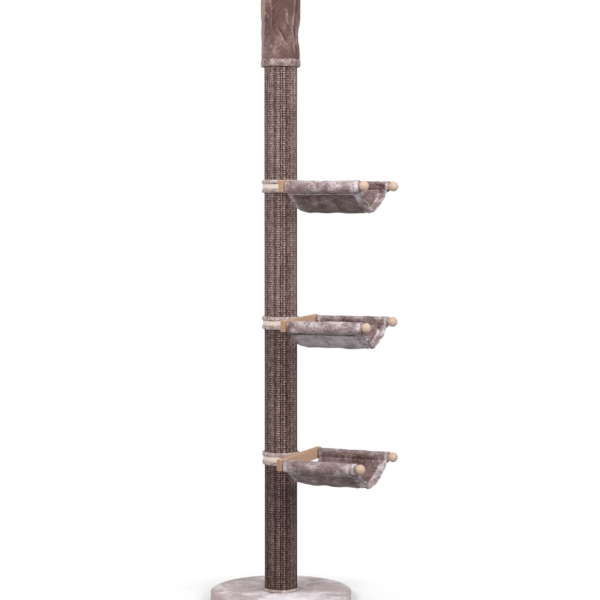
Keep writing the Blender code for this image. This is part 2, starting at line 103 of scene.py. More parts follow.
class NodeBench:
    """A new material's node tree, with short calls for the nodes that the finishes share."""

    def __init__(self, name: str) -> None:
        """Starts a material of that name with its Principled shader."""
        self.material = bpy.data.materials.new(name)
        self.material.use_nodes = True
        self.tree = self.material.node_tree
        self.shader = self.tree.nodes["Principled BSDF"]
        self.places = self.tree.nodes.new("ShaderNodeTexCoord")

    def node(self, kind: str, inputs: dict[str | int, Feed], **settings: object) -> bpy.types.Node:
        """Adds a node.

        Args:
            kind: The node's type.
            inputs: A value or a socket for each input, by its name or number.
            settings: The node's own properties.

        Returns:
            The new node.
        """
        made = self.tree.nodes.new(kind)
        for key, value in settings.items():
            setattr(made, key, value)
        for key, value in inputs.items():
            self.feed(made.inputs[key], value)
        return made

    def feed(self, socket: bpy.types.NodeSocket, value: Feed) -> None:
        """Links a socket to the input, or sets the input's plain value."""
        if isinstance(value, bpy.types.NodeSocket):
            self.tree.links.new(value, socket)
        else:
            socket.default_value = value

    def stretched(self, source: str, scale: tuple[float, float, float]) -> bpy.types.NodeSocket:
        """Returns the Object or UV coordinates, multiplied along each axis."""
        place = self.places.outputs[source]
        return self.node("ShaderNodeVectorMath", {0: place, 1: scale}, operation="MULTIPLY").outputs[0]

    def axis(self, source: str, letter: str) -> bpy.types.NodeSocket:
        """Returns one coordinate, X, Y or Z, of the Object or UV coordinates."""
        return self.node("ShaderNodeSeparateXYZ", {0: self.places.outputs[source]}).outputs[letter]

    def noise(
        self, vector: bpy.types.NodeSocket, scale: float, detail: float = 2.0, distortion: float = 0.0
    ) -> bpy.types.NodeSocket:
        """Adds a noise texture.

        Args:
            vector: The coordinates it reads.
            scale: Its frequency, in one over the coordinates' unit.
            detail: How many finer octaves it has.
            distortion: How far it is warped.

        Returns:
            Its value, about 0.3 to 0.7.
        """
        inputs = {"Vector": vector, "Scale": scale, "Detail": detail, "Distortion": distortion}
        return self.node("ShaderNodeTexNoise", inputs).outputs[0]

    def math(
        self, operation: str, first: Feed, second: Feed = 0.0, third: Feed = 0.0
    ) -> bpy.types.NodeSocket:
        """Returns the result of a Math node."""
        return self.node("ShaderNodeMath", {0: first, 1: second, 2: third}, operation=operation).outputs[0]

    def wave(self, amount: Feed, period: float) -> bpy.types.NodeSocket:
        """Returns a sine of the amount, from 0 to 1, that repeats after each period."""
        turned = self.math("MULTIPLY", amount, math.tau / period)
        return self.math("MULTIPLY_ADD", self.math("SINE", turned), 0.5, 0.5)

    def spread(self, amount: Feed, low: float, high: float) -> bpy.types.NodeSocket:
        """Returns the amount stretched so that low gives 0 and high gives 1, and held between them."""
        inputs = {"Value": amount, "From Min": low, "From Max": high}
        return self.node("ShaderNodeMapRange", inputs, clamp=True).outputs[0]

    def ramp(self, amount: Feed, stops: list[tuple[float, Colour]]) -> bpy.types.NodeSocket:
        """Returns a colour that runs through the stops as the amount goes from 0 to 1."""
        node = self.node("ShaderNodeValToRGB", {0: amount})
        marks = node.color_ramp.elements
        while len(marks) < len(stops):
            marks.new(0.5)
        for mark, (place, colour) in zip(marks, stops):
            mark.position = place
            mark.color = colour
        return node.outputs[0]

    def mix(self, amount: Feed, first: Feed, second: Feed, how: str = "MIX") -> bpy.types.NodeSocket:
        """Returns two colours mixed in the way that how names."""
        inputs = {0: amount, 6: first, 7: second}
        return self.node("ShaderNodeMix", inputs, data_type="RGBA", blend_type=how).outputs[2]

    def bump(
        self, height: bpy.types.NodeSocket, depth: float, under: bpy.types.NodeSocket | None = None
    ) -> bpy.types.NodeSocket:
        """Adds a bump.

        Args:
            height: The relief, from 0 to 1.
            depth: What 1 stands for, in metres.
            under: The normal that this relief lies on.

        Returns:
            The new normal.
        """
        inputs = {"Height": height, "Distance": depth, "Strength": 1.0}
        if under is not None:
            inputs["Normal"] = under
        return self.node("ShaderNodeBump", inputs).outputs[0]

    def done(self, colour: Feed, roughness: Feed, normal: Feed | None, **plain: Feed) -> bpy.types.Material:
        """Feeds the shader.

        Args:
            colour: The base colour.
            roughness: The roughness.
            normal: The normal, or None for a smooth surface.
            plain: The shader's other sockets, by their names in small letters with _ for a space.

        Returns:
            The finished material.
        """
        self.feed(self.shader.inputs["Base Color"], colour)
        self.feed(self.shader.inputs["Roughness"], roughness)
        if normal is not None:
            self.feed(self.shader.inputs["Normal"], normal)
        for socket in self.shader.inputs:
            name = socket.name.lower().replace(" ", "_")
            if name in plain:
                self.feed(socket, plain[name])
        return self.material


class Finish(ABC):
    """What a surface is made of. Each finish makes its material once, and its pieces share it."""

    made: dict[str, bpy.types.Material] = {}

    @abstractmethod
    def make(self) -> bpy.types.Material:
        """Returns a new material."""

    def dress(self, *pieces: bpy.types.Object) -> None:
        """Gives the pieces this finish, in place of any that they have."""
        key = repr(self)
        if key not in Finish.made:
            Finish.made[key] = self.make()
        for piece in pieces:
            if not piece.material_slots:
                piece.data.materials.append(None)
            for place in piece.material_slots:
                place.link = "OBJECT"
                place.material = Finish.made[key]

    def dress_nodes(self, nodes: dict[str, bpy.types.Object], *names: str) -> None:
        """Gives CAD pieces this finish, by their names."""
        self.dress(*(nodes[name] for name in names))


@dataclass(frozen=True)
class Plush(Finish):
    """Short brushed plush. Its nap lies this way and that, in patches that look light or dark."""

    name: str
    dark: Colour
    middle: Colour
    light: Colour
    patch: float = 0.045  # metres across
    nap: tuple[float, float, float] = (1.0, 1.0, 1.0)  # more than 1 shortens the patches along an axis
    contrast: float = 1.0
    pile: float = 0.0011  # metres from tuft to tuft
    creases: float = 0.3  # how much the painted crease highlights show: thin light lines along random folds
    reads_nap_and_shade: bool = False  # whether the piece's nap attribute, which carries painted light and shade, shifts the tone

    def make(self) -> bpy.types.Material:
        """Returns the plush material: patches of nap, tufts and single fibres, with painted crease highlights
        and the painted light and shade that the nap attribute carries.
        """
        bench = NodeBench(self.name)
        lie = bench.stretched("Object", self.nap)
        patches = bench.noise(lie, 1 / self.patch, 3.0, 0.8)
        strokes = bench.noise(lie, 2.6 / self.patch, 3.0, 1.2)
        tufts = bench.noise(lie, 0.22 / self.pile, 2.0, 0.6)
        fibres = bench.noise(bench.places.outputs["Object"], 1 / self.pile, 1.0)
        half = 0.20 / self.contrast
        nap = bench.math("MULTIPLY_ADD", strokes, 0.30, bench.math("MULTIPLY", patches, 0.70))
        nap = bench.math("MULTIPLY_ADD", bench.math("SUBTRACT", tufts, 0.5), 0.52, nap)
        # the nap attribute carries painted light and shade as well as the nap
        if self.reads_nap_and_shade:
            told_nap_and_shade = bench.node("ShaderNodeAttribute", {}, attribute_name=NAP_AND_SHADE).outputs["Fac"]
            nap = bench.math("MULTIPLY_ADD", told_nap_and_shade, 0.13, nap)
        # painted crease highlights: thin light lines along random folds
        folds = bench.noise(lie, 1.1 / self.patch, 2.0, 0.9)
        crease_highlight_gap = bench.math("ABSOLUTE", bench.math("SUBTRACT", folds, 0.5))
        here = bench.spread(bench.noise(lie, 1.7 / self.patch, 1.0), 0.47, 0.60)
        line = bench.math("MULTIPLY", bench.spread(crease_highlight_gap, 0.016, 0.003), here)
        nap = bench.math("MULTIPLY_ADD", line, 0.30 * self.creases, nap)
        shade = bench.spread(nap, 0.5 - half, 0.5 + half)
        colour = bench.ramp(shade, [(0.0, self.dark), (0.5, self.middle), (1.0, self.light)])
        greys = [(0.0, srgb(96, 96, 96)), (1.0, srgb(226, 226, 226))]
        specks = bench.ramp(bench.spread(fibres, 0.25, 0.75), greys)
        colour = bench.mix(0.30, colour, specks, "SOFT_LIGHT")
        relief = bench.bump(tufts, 0.0022, bench.bump(strokes, 0.0040))
        relief = bench.bump(fibres, 0.0005, relief)
        rough = bench.spread(shade, -2.0, 1.2)
        return bench.done(
            colour, rough, relief, sheen_weight=0.35, sheen_roughness=0.45, sheen_tint=srgb(235, 225, 225),
            specular_ior_level=0.15,
        )


@dataclass(frozen=True)
class Sisal(Finish):
    """Sisal mat, woven in ribs of knots that run up the post. Its UV counts ribs across and metres up."""

    name: str
    depth: float = 0.0  # painted shade: how much darker this length is painted, for the light that falls off down the post
    knot: float = 0.0098  # metres from knot to knot along a rib

    def make(self) -> bpy.types.Material:
        """Returns the sisal material, with yarn, knots and the grooves between ribs, painted highlights on
        knots and crowns, and painted shade in the grooves.
        """
        bench = NodeBench(self.name)
        across = bench.axis("UV", "X")
        up = bench.axis("UV", "Y")
        rib = bench.math("FLOOR", across)
        crown = bench.math("SINE", bench.math("MULTIPLY", bench.math("FRACT", across), math.pi))
        own = bench.node("ShaderNodeTexWhiteNoise", {"W": rib}, noise_dimensions="1D").outputs[0]
        other = bench.node(
            "ShaderNodeTexWhiteNoise", {"W": bench.math("ADD", rib, 91.7)}, noise_dimensions="1D"
        ).outputs[0]
        slack = bench.noise(bench.stretched("UV", (0.16, 7.0, 1.0)), 1.0, 2.0)
        level = bench.math("MULTIPLY_ADD", slack, 0.014, up)
        pair = bench.math("PINGPONG", rib, 1.0)
        knots = bench.wave(level, self.knot)
        count = bench.math("FLOOR", bench.math("DIVIDE", level, self.knot))
        cell = bench.node("ShaderNodeCombineXYZ", {0: rib, 1: count}).outputs[0]
        salt = bench.node("ShaderNodeTexWhiteNoise", {"Vector": cell}, noise_dimensions="2D").outputs[0]
        bright = bench.math("GREATER_THAN", other, 0.76)
        dull = bench.math("LESS_THAN", other, 0.22)
        streaks = bench.noise(bench.stretched("UV", (1.3, 22.0, 1.0)), 1.0, 3.0, 0.4)
        threads = bench.noise(bench.stretched("UV", (5.0, 380.0, 1.0)), 1.0, 2.0)
        bands = bench.noise(bench.stretched("UV", (0.16, 0.6, 1.0)), 1.0, 2.0)
        worn = bench.noise(bench.places.outputs["Object"], 8.0, 3.0, 1.0)
        tone = bench.math("MULTIPLY_ADD", own, 0.34, 0.12 - self.depth)
        tone = bench.math("MULTIPLY_ADD", pair, 0.08, tone)
        tone = bench.math("MULTIPLY_ADD", bench.math("SUBTRACT", salt, 0.5), 0.34, tone)
        tone = bench.math("MULTIPLY_ADD", bench.math("SUBTRACT", bands, 0.5), 0.46, tone)
        tone = bench.math("MULTIPLY_ADD", bench.math("SUBTRACT", streaks, 0.5), 0.15, tone)
        tone = bench.math("MULTIPLY_ADD", bench.math("SUBTRACT", worn, 0.5), 0.26, tone)
        tone = bench.math("MULTIPLY_ADD", bench.math("SUBTRACT", threads, 0.5), 0.60, tone)
        # painted highlight on the knot tops along each rib's crown
        tone = bench.math("MULTIPLY_ADD", bench.math("MULTIPLY", knots, crown), 0.30, tone)
        # painted glints on the knots of a few ribs
        glints = bench.math("MULTIPLY", bench.math("POWER", knots, 2.0), bright)
        tone = bench.math("MULTIPLY_ADD", glints, 0.56, tone)
        tone = bench.math("MULTIPLY_ADD", dull, -0.16, tone)
        # painted shade: the grooves between ribs darker than the crowns
        tone = bench.math("MULTIPLY_ADD", crown, 0.12, tone)
        stops = [
            (0.0, srgb(44, 29, 26)),
            (0.34, srgb(100, 78, 73)),
            (0.60, srgb(142, 119, 115)),
            (0.82, srgb(180, 157, 152)),
            (1.0, srgb(226, 206, 200)),
        ]
        colour = bench.ramp(bench.spread(tone, 0.0, 1.10), stops)
        height = bench.math("MULTIPLY", crown, bench.math("MULTIPLY_ADD", knots, 0.5, 0.5))
        relief = bench.bump(height, 0.0016)
        relief = bench.bump(threads, 0.0006, relief)
        return bench.done(colour, 0.92, relief, specular_ior_level=0.18, sheen_weight=0.08)


class Grain(Enum):
    """The axis that a piece of wood's grain runs along."""

    ALONG_X = (3.0, 60.0, 60.0)
    ALONG_Y = (60.0, 3.0, 60.0)


@dataclass(frozen=True)
class Wood(Finish):
    """Sanded wood under matt lacquer, with year rings round a pith outside the piece."""

    name: str
    early: Colour
    late: Colour
    grain: Grain
    ring: float = 0.0042  # metres from one year ring to the next
    end_grain: float = 0.9  # how much darker the cut ends are painted: end grain that drinks the lacquer, and painted shade on the bar ends

    def make(self) -> bpy.types.Material:
        """Returns the wood material: year rings, pores along the grain and the lacquer's own unevenness."""
        bench = NodeBench(self.name)
        place = bench.places.outputs["Object"]
        x, y, z = self.grain.value
        sway = bench.noise(bench.stretched("Object", (x / 12, y / 12, z / 12)), 1.0, 2.0)
        pith = (0.0, 0.11, -0.07) if self.grain is Grain.ALONG_X else (-0.09, 0.0, -0.06)
        mask = (0.0, 1.0, 1.0) if self.grain is Grain.ALONG_X else (1.0, 0.0, 1.0)
        off = bench.node("ShaderNodeVectorMath", {0: place, 1: pith}, operation="ADD").outputs[0]
        off = bench.node("ShaderNodeVectorMath", {0: off, 1: mask}, operation="MULTIPLY").outputs[0]
        far = bench.node("ShaderNodeVectorMath", {0: off}, operation="LENGTH").outputs["Value"]
        rings = bench.wave(bench.math("MULTIPLY_ADD", sway, 0.03, far), self.ring)
        pores = bench.noise(bench.stretched("Object", (x * 22, y * 22, z * 22)), 1.0, 2.0)
        late_wood = bench.math("POWER", rings, 2.2)
        shade = bench.math("MULTIPLY_ADD", late_wood, 0.62, bench.spread(pores, 0.35, 0.95))
        colour = bench.ramp(bench.spread(shade, 0.0, 1.15), [(0.0, self.early), (1.0, self.late)])
        tint = bench.spread(bench.noise(place, 26.0, 2.0), 0.3, 0.7)
        tints = bench.ramp(tint, [(0.0, srgb(105, 100, 95)), (1.0, srgb(150, 150, 150))])
        colour = bench.mix(0.25, colour, tints, "SOFT_LIGHT")
        # darker cut ends: end grain that drinks the lacquer, with painted shade on the bar ends
        along = bench.axis("Normal", "X" if self.grain is Grain.ALONG_X else "Y")
        at_end = bench.spread(bench.math("ABSOLUTE", along), 0.75, 0.98)
        cut = bench.ramp(rings, [(0.0, self.late), (1.0, srgb(120, 84, 60))])
        colour = bench.mix(bench.math("MULTIPLY", at_end, self.end_grain), colour, cut)
        relief = bench.bump(pores, 0.00025)
        rough = bench.math("MULTIPLY_ADD", pores, 0.25, 0.36)
        return bench.done(colour, rough, relief, specular_ior_level=0.4)


@dataclass(frozen=True)
class Webbing(Finish):
    """Flat woven webbing. Its UV is metres along and across the strap."""

    name: str
    light: Colour
    dark: Colour
    yarn: float = 0.0015  # metres from yarn to yarn

    def make(self) -> bpy.types.Material:
        """Returns the webbing material: a broken twill, with a thicker yarn at each edge."""
        bench = NodeBench(self.name)
        along = bench.axis("UV", "X")
        across = bench.axis("UV", "Y")
        spacing = self.yarn * 1.3
        rib = bench.wave(across, spacing)
        row = bench.math("FLOOR", bench.math("DIVIDE", across, spacing))
        pick = bench.wave(bench.math("MULTIPLY_ADD", row, self.yarn / 2, along), self.yarn)
        rib_height = bench.math("MULTIPLY_ADD", rib, 0.5, 0.5)
        weave = bench.math("MULTIPLY", rib_height, bench.math("MULTIPLY_ADD", pick, 0.5, 0.5))
        soil = bench.noise(bench.stretched("UV", (60.0, 120.0, 1.0)), 1.0, 3.0)
        tone = bench.math("MULTIPLY_ADD", bench.math("SUBTRACT", soil, 0.5), 0.8, weave)
        colour = bench.ramp(bench.spread(tone, 0.0, 1.0), [(0.0, self.dark), (1.0, self.light)])
        relief = bench.bump(weave, 0.0004)
        return bench.done(colour, 0.82, relief, specular_ior_level=0.25, sheen_weight=0.1)


class Metalwork(Enum):
    """How a steel piece was worked."""

    PLATED = "plated"
    THREADED = "threaded"


@dataclass(frozen=True)
class Steel(Finish):
    """Zinc-plated steel, plain or with a screw thread cut round the Z axis."""

    name: str
    work: Metalwork = Metalwork.PLATED
    pitch: float = 0.0025

    def make(self) -> bpy.types.Material:
        """Returns the steel material: clouded plating, fine scratches and the thread."""
        bench = NodeBench(self.name)
        place = bench.places.outputs["Object"]
        cloud = bench.noise(place, 90.0, 3.0)
        scratch = bench.noise(bench.stretched("Object", (300.0, 300.0, 2400.0)), 1.0, 2.0)
        zinc = [(0.0, srgb(176, 178, 180)), (1.0, srgb(208, 208, 204))]
        colour = bench.ramp(bench.spread(cloud, 0.3, 0.7), zinc)
        rough = bench.math("MULTIPLY_ADD", scratch, 0.22, bench.math("MULTIPLY_ADD", cloud, 0.25, 0.12))
        relief = bench.bump(scratch, 0.00005)
        if self.work is Metalwork.THREADED:
            turn = bench.math("ARCTAN2", bench.axis("Object", "Y"), bench.axis("Object", "X"))
            climb = bench.math("MULTIPLY_ADD", turn, -self.pitch / math.tau, bench.axis("Object", "Z"))
            relief = bench.bump(bench.wave(climb, self.pitch), 0.0012, relief)
        return bench.done(colour, rough, relief, metallic=1.0)


class Sheet(Enum):
    """A plain sheet or board in the tree: its dark and light colours, grain size and relief in metres."""

    CHIPBOARD = (srgb(150, 118, 82), srgb(206, 178, 138), 0.0035, 0.0003)
    CARDBOARD = (srgb(142, 112, 80), srgb(178, 148, 112), 0.0060, 0.0002)
    RUBBER = (srgb(26, 26, 27), srgb(48, 48, 50), 0.0040, 0.0008)
    NET = (srgb(58, 54, 52), srgb(96, 90, 86), 0.0030, 0.0009)


@dataclass(frozen=True)
class Plain(Finish):
    """A hidden material: chipboard, wound cardboard, dimpled rubber or non-slip net."""

    name: str
    sheet: Sheet

    def make(self) -> bpy.types.Material:
        """Returns the material, with its chips, winding, dimples or mesh."""
        bench = NodeBench(self.name)
        dark, light, grain, depth = self.sheet.value
        place = bench.places.outputs["Object"]
        fine = bench.noise(place, 1 / grain, 3.0)
        if self.sheet is Sheet.CHIPBOARD:
            height = bench.node("ShaderNodeTexVoronoi", {"Vector": place, "Scale": 1 / grain}).outputs[0]
        elif self.sheet is Sheet.CARDBOARD:
            turn = bench.math("ARCTAN2", bench.axis("Object", "Y"), bench.axis("Object", "X"))
            climb = bench.math("MULTIPLY_ADD", turn, 0.075 / math.tau, bench.axis("Object", "Z"))
            height = bench.math("POWER", bench.wave(climb, 0.075), 24.0)
        elif self.sheet is Sheet.RUBBER:
            even = {"Vector": place, "Scale": 1 / grain, "Randomness": 0.0}
            height = bench.spread(bench.node("ShaderNodeTexVoronoi", even).outputs[0], 0.45, 0.15)
        else:
            turn = bench.math("ARCTAN2", bench.axis("Object", "Y"), bench.axis("Object", "X"))
            lines = bench.wave(bench.math("MULTIPLY", turn, 0.07), grain)
            height = bench.math("MAXIMUM", lines, bench.wave(bench.axis("Object", "Z"), grain))
        shade = bench.math("MULTIPLY_ADD", height, 0.3, bench.spread(fine, 0.3, 0.7))
        colour = bench.ramp(bench.spread(shade, 0.0, 1.3), [(0.0, dark), (1.0, light)])
        return bench.done(colour, 0.88, bench.bump(height, depth), specular_ior_level=0.2)


BASE_PLUSH = Plush(
    "pale_plush", srgb(170, 152, 151), srgb(226, 217, 222), srgb(248, 243, 249),
    patch=0.11, contrast=1.05, reads_nap_and_shade=True,
)
SLING_PLUSH = Plush(
    "sling_plush", srgb(82, 54, 52), srgb(144, 125, 124), srgb(222, 212, 218), patch=0.050, contrast=0.72,
    creases=0.5, reads_nap_and_shade=True,
)
SLEEVE_PLUSH = Plush(
    "sleeve_plush", srgb(80, 54, 50), srgb(104, 79, 74), srgb(150, 128, 121),
    patch=0.085, nap=(1.1, 1.1, 0.55),
    contrast=0.8, creases=1.5, reads_nap_and_shade=True,
)
HEM_PLUSH = Plush(
    "hem_plush", srgb(104, 83, 80), srgb(146, 126, 122), srgb(194, 179, 176), patch=0.03, contrast=1.1
)
TRIM_PLUSH = Plush(
    "trim_plush", srgb(128, 108, 103), srgb(176, 158, 153), srgb(216, 203, 200), patch=0.02, contrast=1.2
)
CREAM_WEBBING = Webbing("cream_webbing", srgb(236, 220, 207), srgb(212, 195, 181))
BAR_WOOD = Wood("bar_wood", srgb(216, 181, 154), srgb(184, 147, 120), Grain.ALONG_Y)
DOWEL_WOOD = Wood(
    "dowel_wood", srgb(206, 183, 166), srgb(184, 157, 136), Grain.ALONG_X, ring=0.0035, end_grain=0.0
)
PLATED = Steel("plated_steel")
THREADED = Steel("threaded_rod", Metalwork.THREADED)


# Mesh making


@dataclass(frozen=True)
class Ripple:
    """A smooth field of bumps, the sum of seeded plane waves of about one wavelength."""

    wavelength: float
    seed: int
    stretch: tuple[float, float, float] = (1.0, 1.0, 1.0)  # more than 1 lengthens the bumps along an axis
    waves: int = 14

    def at(self, points: np.ndarray) -> np.ndarray:
        """Returns the field's value, about -2 to 2, at each point.

        Args:
            points: Places in metres, with x, y and z along the last axis.

        Returns:
            One value for each point.
        """
        rng = np.random.default_rng(self.seed)
        headings = rng.normal(size=(self.waves, 3))
        headings /= np.linalg.norm(headings, axis=1, keepdims=True)
        lengths = self.wavelength * rng.uniform(0.7, 1.5, self.waves)
        phases = rng.uniform(0, math.tau, self.waves)
        waves = headings / lengths[:, None] * math.tau / np.array(self.stretch)
        return np.sin(points @ waves.T + phases).sum(axis=-1) * math.sqrt(2 / self.waves)


@dataclass(frozen=True)
class Lattice:
    """A mesh of rows and columns of points."""

    points: np.ndarray  # rows by columns by 3
    rows_close: bool = False
    columns_close: bool = False
    uv_step: tuple[float, float] = (1.0, 1.0)  # what one column and one row count for in the UV map

    def faces(self) -> tuple[np.ndarray, np.ndarray]:
        """Returns each quad's corners, and each corner's UV place."""
        rows, columns = self.points.shape[:2]
        high = rows if self.rows_close else rows - 1
        wide = columns if self.columns_close else columns - 1
        row, column = np.meshgrid(np.arange(high), np.arange(wide), indexing="ij")
        corners, places = [], []
        for up, along in ((0, 0), (0, 1), (1, 1), (1, 0)):
            at_row, at_column = row + up, column + along
            corners.append((at_row % rows) * columns + at_column % columns)
            places.append(np.stack([at_column * self.uv_step[0], at_row * self.uv_step[1]], axis=-1))
        return np.stack(corners, axis=-1).reshape(-1, 4), np.stack(places, axis=-2).reshape(-1, 2)

    def piece(self, name: str) -> bpy.types.Object:
        """Returns a smooth-shaded object of that name, linked to the scene."""
        corners, places = self.faces()
        mesh = bpy.data.meshes.new(name)
        mesh.from_pydata(self.points.reshape(-1, 3).tolist(), [], corners.tolist())
        layer = mesh.uv_layers.new(name="UVMap")
        layer.data.foreach_set("uv", places.ravel())
        mesh.validate()
        mesh.shade_smooth()
        made = bpy.data.objects.new(name, mesh)
        bpy.context.scene.collection.objects.link(made)
        return made


def turned(profile: np.ndarray, columns: int) -> np.ndarray:
    """Turns a profile round the Z axis.

    Args:
        profile: Rows of radius and height.
        columns: How many steps the full turn takes.

    Returns:
        The points, rows by columns by 3.
    """
    turns = np.arange(columns) / columns * math.tau
    radius = profile[:, 0][:, None]
    height = np.broadcast_to(profile[:, 1][:, None], (len(profile), columns))
    return np.stack([radius * np.cos(turns), radius * np.sin(turns), height], axis=-1)


def pushed_out(points: np.ndarray, amount: np.ndarray) -> np.ndarray:
    """Moves points away from the Z axis by that many metres, and returns them."""
    radius = np.hypot(points[..., 0], points[..., 1])
    share = (radius + amount) / np.maximum(radius, 1e-6)
    moved = points.copy()
    moved[..., 0] *= share
    moved[..., 1] *= share
    return moved


def resampled(line: np.ndarray, count: int) -> np.ndarray:
    """Returns a polyline as that many points at even steps along it."""
    steps = np.linalg.norm(np.diff(line, axis=0), axis=1)
    far = np.concatenate([[0], np.cumsum(steps)])
    even = np.linspace(0, far[-1], count)
    return np.stack([np.interp(even, far, line[:, i]) for i in range(line.shape[1])], axis=-1)


def eased(line: np.ndarray, passes: int) -> np.ndarray:
    """Returns a polyline with its corners eased and its two ends kept."""
    soft = line.copy()
    for _ in range(passes):
        soft[1:-1] = (soft[:-2] + 2 * soft[1:-1] + soft[2:]) / 4
    return soft


def tube_along(path: np.ndarray, across: np.ndarray, section: np.ndarray) -> np.ndarray:
    """Sweeps a closed section along a path.

    Args:
        path: The path's points.
        across: A unit vector at each point, which the section's first number goes along.
        section: The section's points. Its second number goes along the cross product of the path's heading
            and across.

    Returns:
        The points, one row for each point of the path.
    """
    heading = np.gradient(path, axis=0)
    heading /= np.linalg.norm(heading, axis=1, keepdims=True)
    other = np.cross(heading, across)
    other /= np.linalg.norm(other, axis=1, keepdims=True)
    first = np.cross(other, heading)
    return path[:, None] + first[:, None] * section[None, :, :1] + other[:, None] * section[None, :, 1:]


def capped(piece: bpy.types.Object, columns: int) -> None:
    """Closes the two open ends of a swept tube.

    Args:
        piece: The tube, with each ring's points in turn.
        columns: How many points a ring has.
    """
    mesh = piece.data
    total = len(mesh.vertices)
    rings = (range(columns - 1, -1, -1), range(total - columns, total))
    faces = [list(face.vertices) for face in mesh.polygons] + [list(ring) for ring in rings]
    points = [vertex.co[:] for vertex in mesh.vertices]
    places = [loop.uv[:] for loop in mesh.uv_layers[0].data]
    mesh.clear_geometry()
    mesh.from_pydata(points, [], faces)
    layer = mesh.uv_layers[0] if mesh.uv_layers else mesh.uv_layers.new(name="UVMap")
    flat = [value for place in places for value in place] + [0.0] * (4 * columns)
    layer.data.foreach_set("uv", flat)
    mesh.shade_smooth()


@dataclass(frozen=True)
class Drape:
    """A cloth simulation whose result stays within a few millimetres of the cut shape."""

    frames: int = 16
    limit: float = 0.010
    gravity: float = 1.0
    pressure: float = 0.0
    growth: float = 0.0  # how much larger the cloth is cut than its frame, as a share
    stiffness: float = 15.0
    bending: float = 0.5

    def settle(self, piece: bpy.types.Object, held: np.ndarray) -> None:
        """Runs the simulation and leaves its result in the piece's own mesh.

        Args:
            piece: The cloth.
            held: From 0, free, to 1, held fast, for each vertex.
        """
        group = piece.vertex_groups.new(name="held")
        for index in np.flatnonzero(held > 0):
            group.add([int(index)], float(held[index]), "REPLACE")
        cloth = piece.modifiers.new("drape", "CLOTH")
        cloth.settings.vertex_group_mass = group.name
        cloth.settings.quality = 6
        cloth.settings.mass = 0.25
        cloth.settings.tension_stiffness = self.stiffness
        cloth.settings.compression_stiffness = self.stiffness
        cloth.settings.shear_stiffness = self.stiffness / 3
        cloth.settings.bending_stiffness = self.bending
        cloth.settings.effector_weights.gravity = self.gravity
        cloth.settings.shrink_min = -self.growth
        if self.pressure:
            cloth.settings.use_pressure = True
            cloth.settings.uniform_pressure_force = self.pressure
        cloth.point_cache.frame_start = 1
        cloth.point_cache.frame_end = self.frames
        cloth.collision_settings.use_collision = False
        count = len(piece.data.vertices)
        before = np.empty(count * 3)
        piece.data.vertices.foreach_get("co", before)
        for number in range(1, self.frames + 1):
            bpy.context.scene.frame_set(number)
        shown = piece.evaluated_get(bpy.context.evaluated_depsgraph_get())
        after = np.empty(count * 3)
        shown.data.vertices.foreach_get("co", after)
        piece.modifiers.remove(cloth)
        piece.vertex_groups.remove(group)
        bpy.context.scene.frame_set(1)
        before = before.reshape(-1, 3)
        move = after.reshape(-1, 3) - before
        length = np.linalg.norm(move, axis=1, keepdims=True)
        move *= np.tanh(length / self.limit) * self.limit / np.maximum(length, 1e-9)
        piece.data.vertices.foreach_set("co", (before + move).ravel())
        piece.data.update()


def thicken(piece: bpy.types.Object, thickness: float, shares: np.ndarray) -> None:
    """Gives a sheet its thickness, half to each side, and rounds it.

    Args:
        piece: The sheet.
        thickness: Its full thickness in metres.
        shares: How much of that thickness each vertex takes, from 0.3 to 1.
    """
    least = 0.3
    group = piece.vertex_groups.new(name="thickness")
    for index, share in enumerate((shares.ravel() - least) / (1 - least)):
        group.add([index], float(np.clip(share, 0, 1)), "REPLACE")
    solid = piece.modifiers.new("thickness", "SOLIDIFY")
    solid.thickness = thickness
    solid.offset = 0.0
    solid.vertex_group = group.name
    solid.thickness_vertex_group = least
    soft = piece.modifiers.new("rounding", "SUBSURF")
    soft.levels = 1
    soft.render_levels = 1
    settle_modifiers(piece)


def settle_modifiers(piece: bpy.types.Object) -> None:
    """Turns what a piece's modifiers give into its own mesh."""
    shown = piece.evaluated_get(bpy.context.evaluated_depsgraph_get())
    mesh = bpy.data.meshes.new_from_object(shown)
    piece.modifiers.clear()
    piece.vertex_groups.clear()
    piece.data = mesh
    mesh.shade_smooth()


def places_of(mesh: bpy.types.Mesh) -> tuple[np.ndarray, np.ndarray]:
    """Returns each vertex's place and its normal."""
    count = len(mesh.vertices)
    places, normals = np.empty(count * 3), np.empty(count * 3)
    mesh.vertices.foreach_get("co", places)
    mesh.vertex_normals.foreach_get("vector", normals)
    return places.reshape(-1, 3), normals.reshape(-1, 3)


def lay_nap_and_shade(piece: bpy.types.Object, lie: np.ndarray) -> None:
    """Writes the nap attribute at each vertex, from -1, dark, to 1, light: which way the nap lies, with
    painted light and shade laid on it.
    """
    layer = piece.data.attributes.new(NAP_AND_SHADE, "FLOAT", "POINT")
    layer.data.foreach_set("value", np.clip(lie, -1.5, 1.5).astype(np.float32))


def rise(amount: np.ndarray, low: float, high: float) -> np.ndarray:
    """Returns a smooth step from 0, at low, to 1, at high."""
    share = np.clip((amount - low) / (high - low), 0, 1)
    return share * share * (3 - 2 * share)


# Sub-assemblies


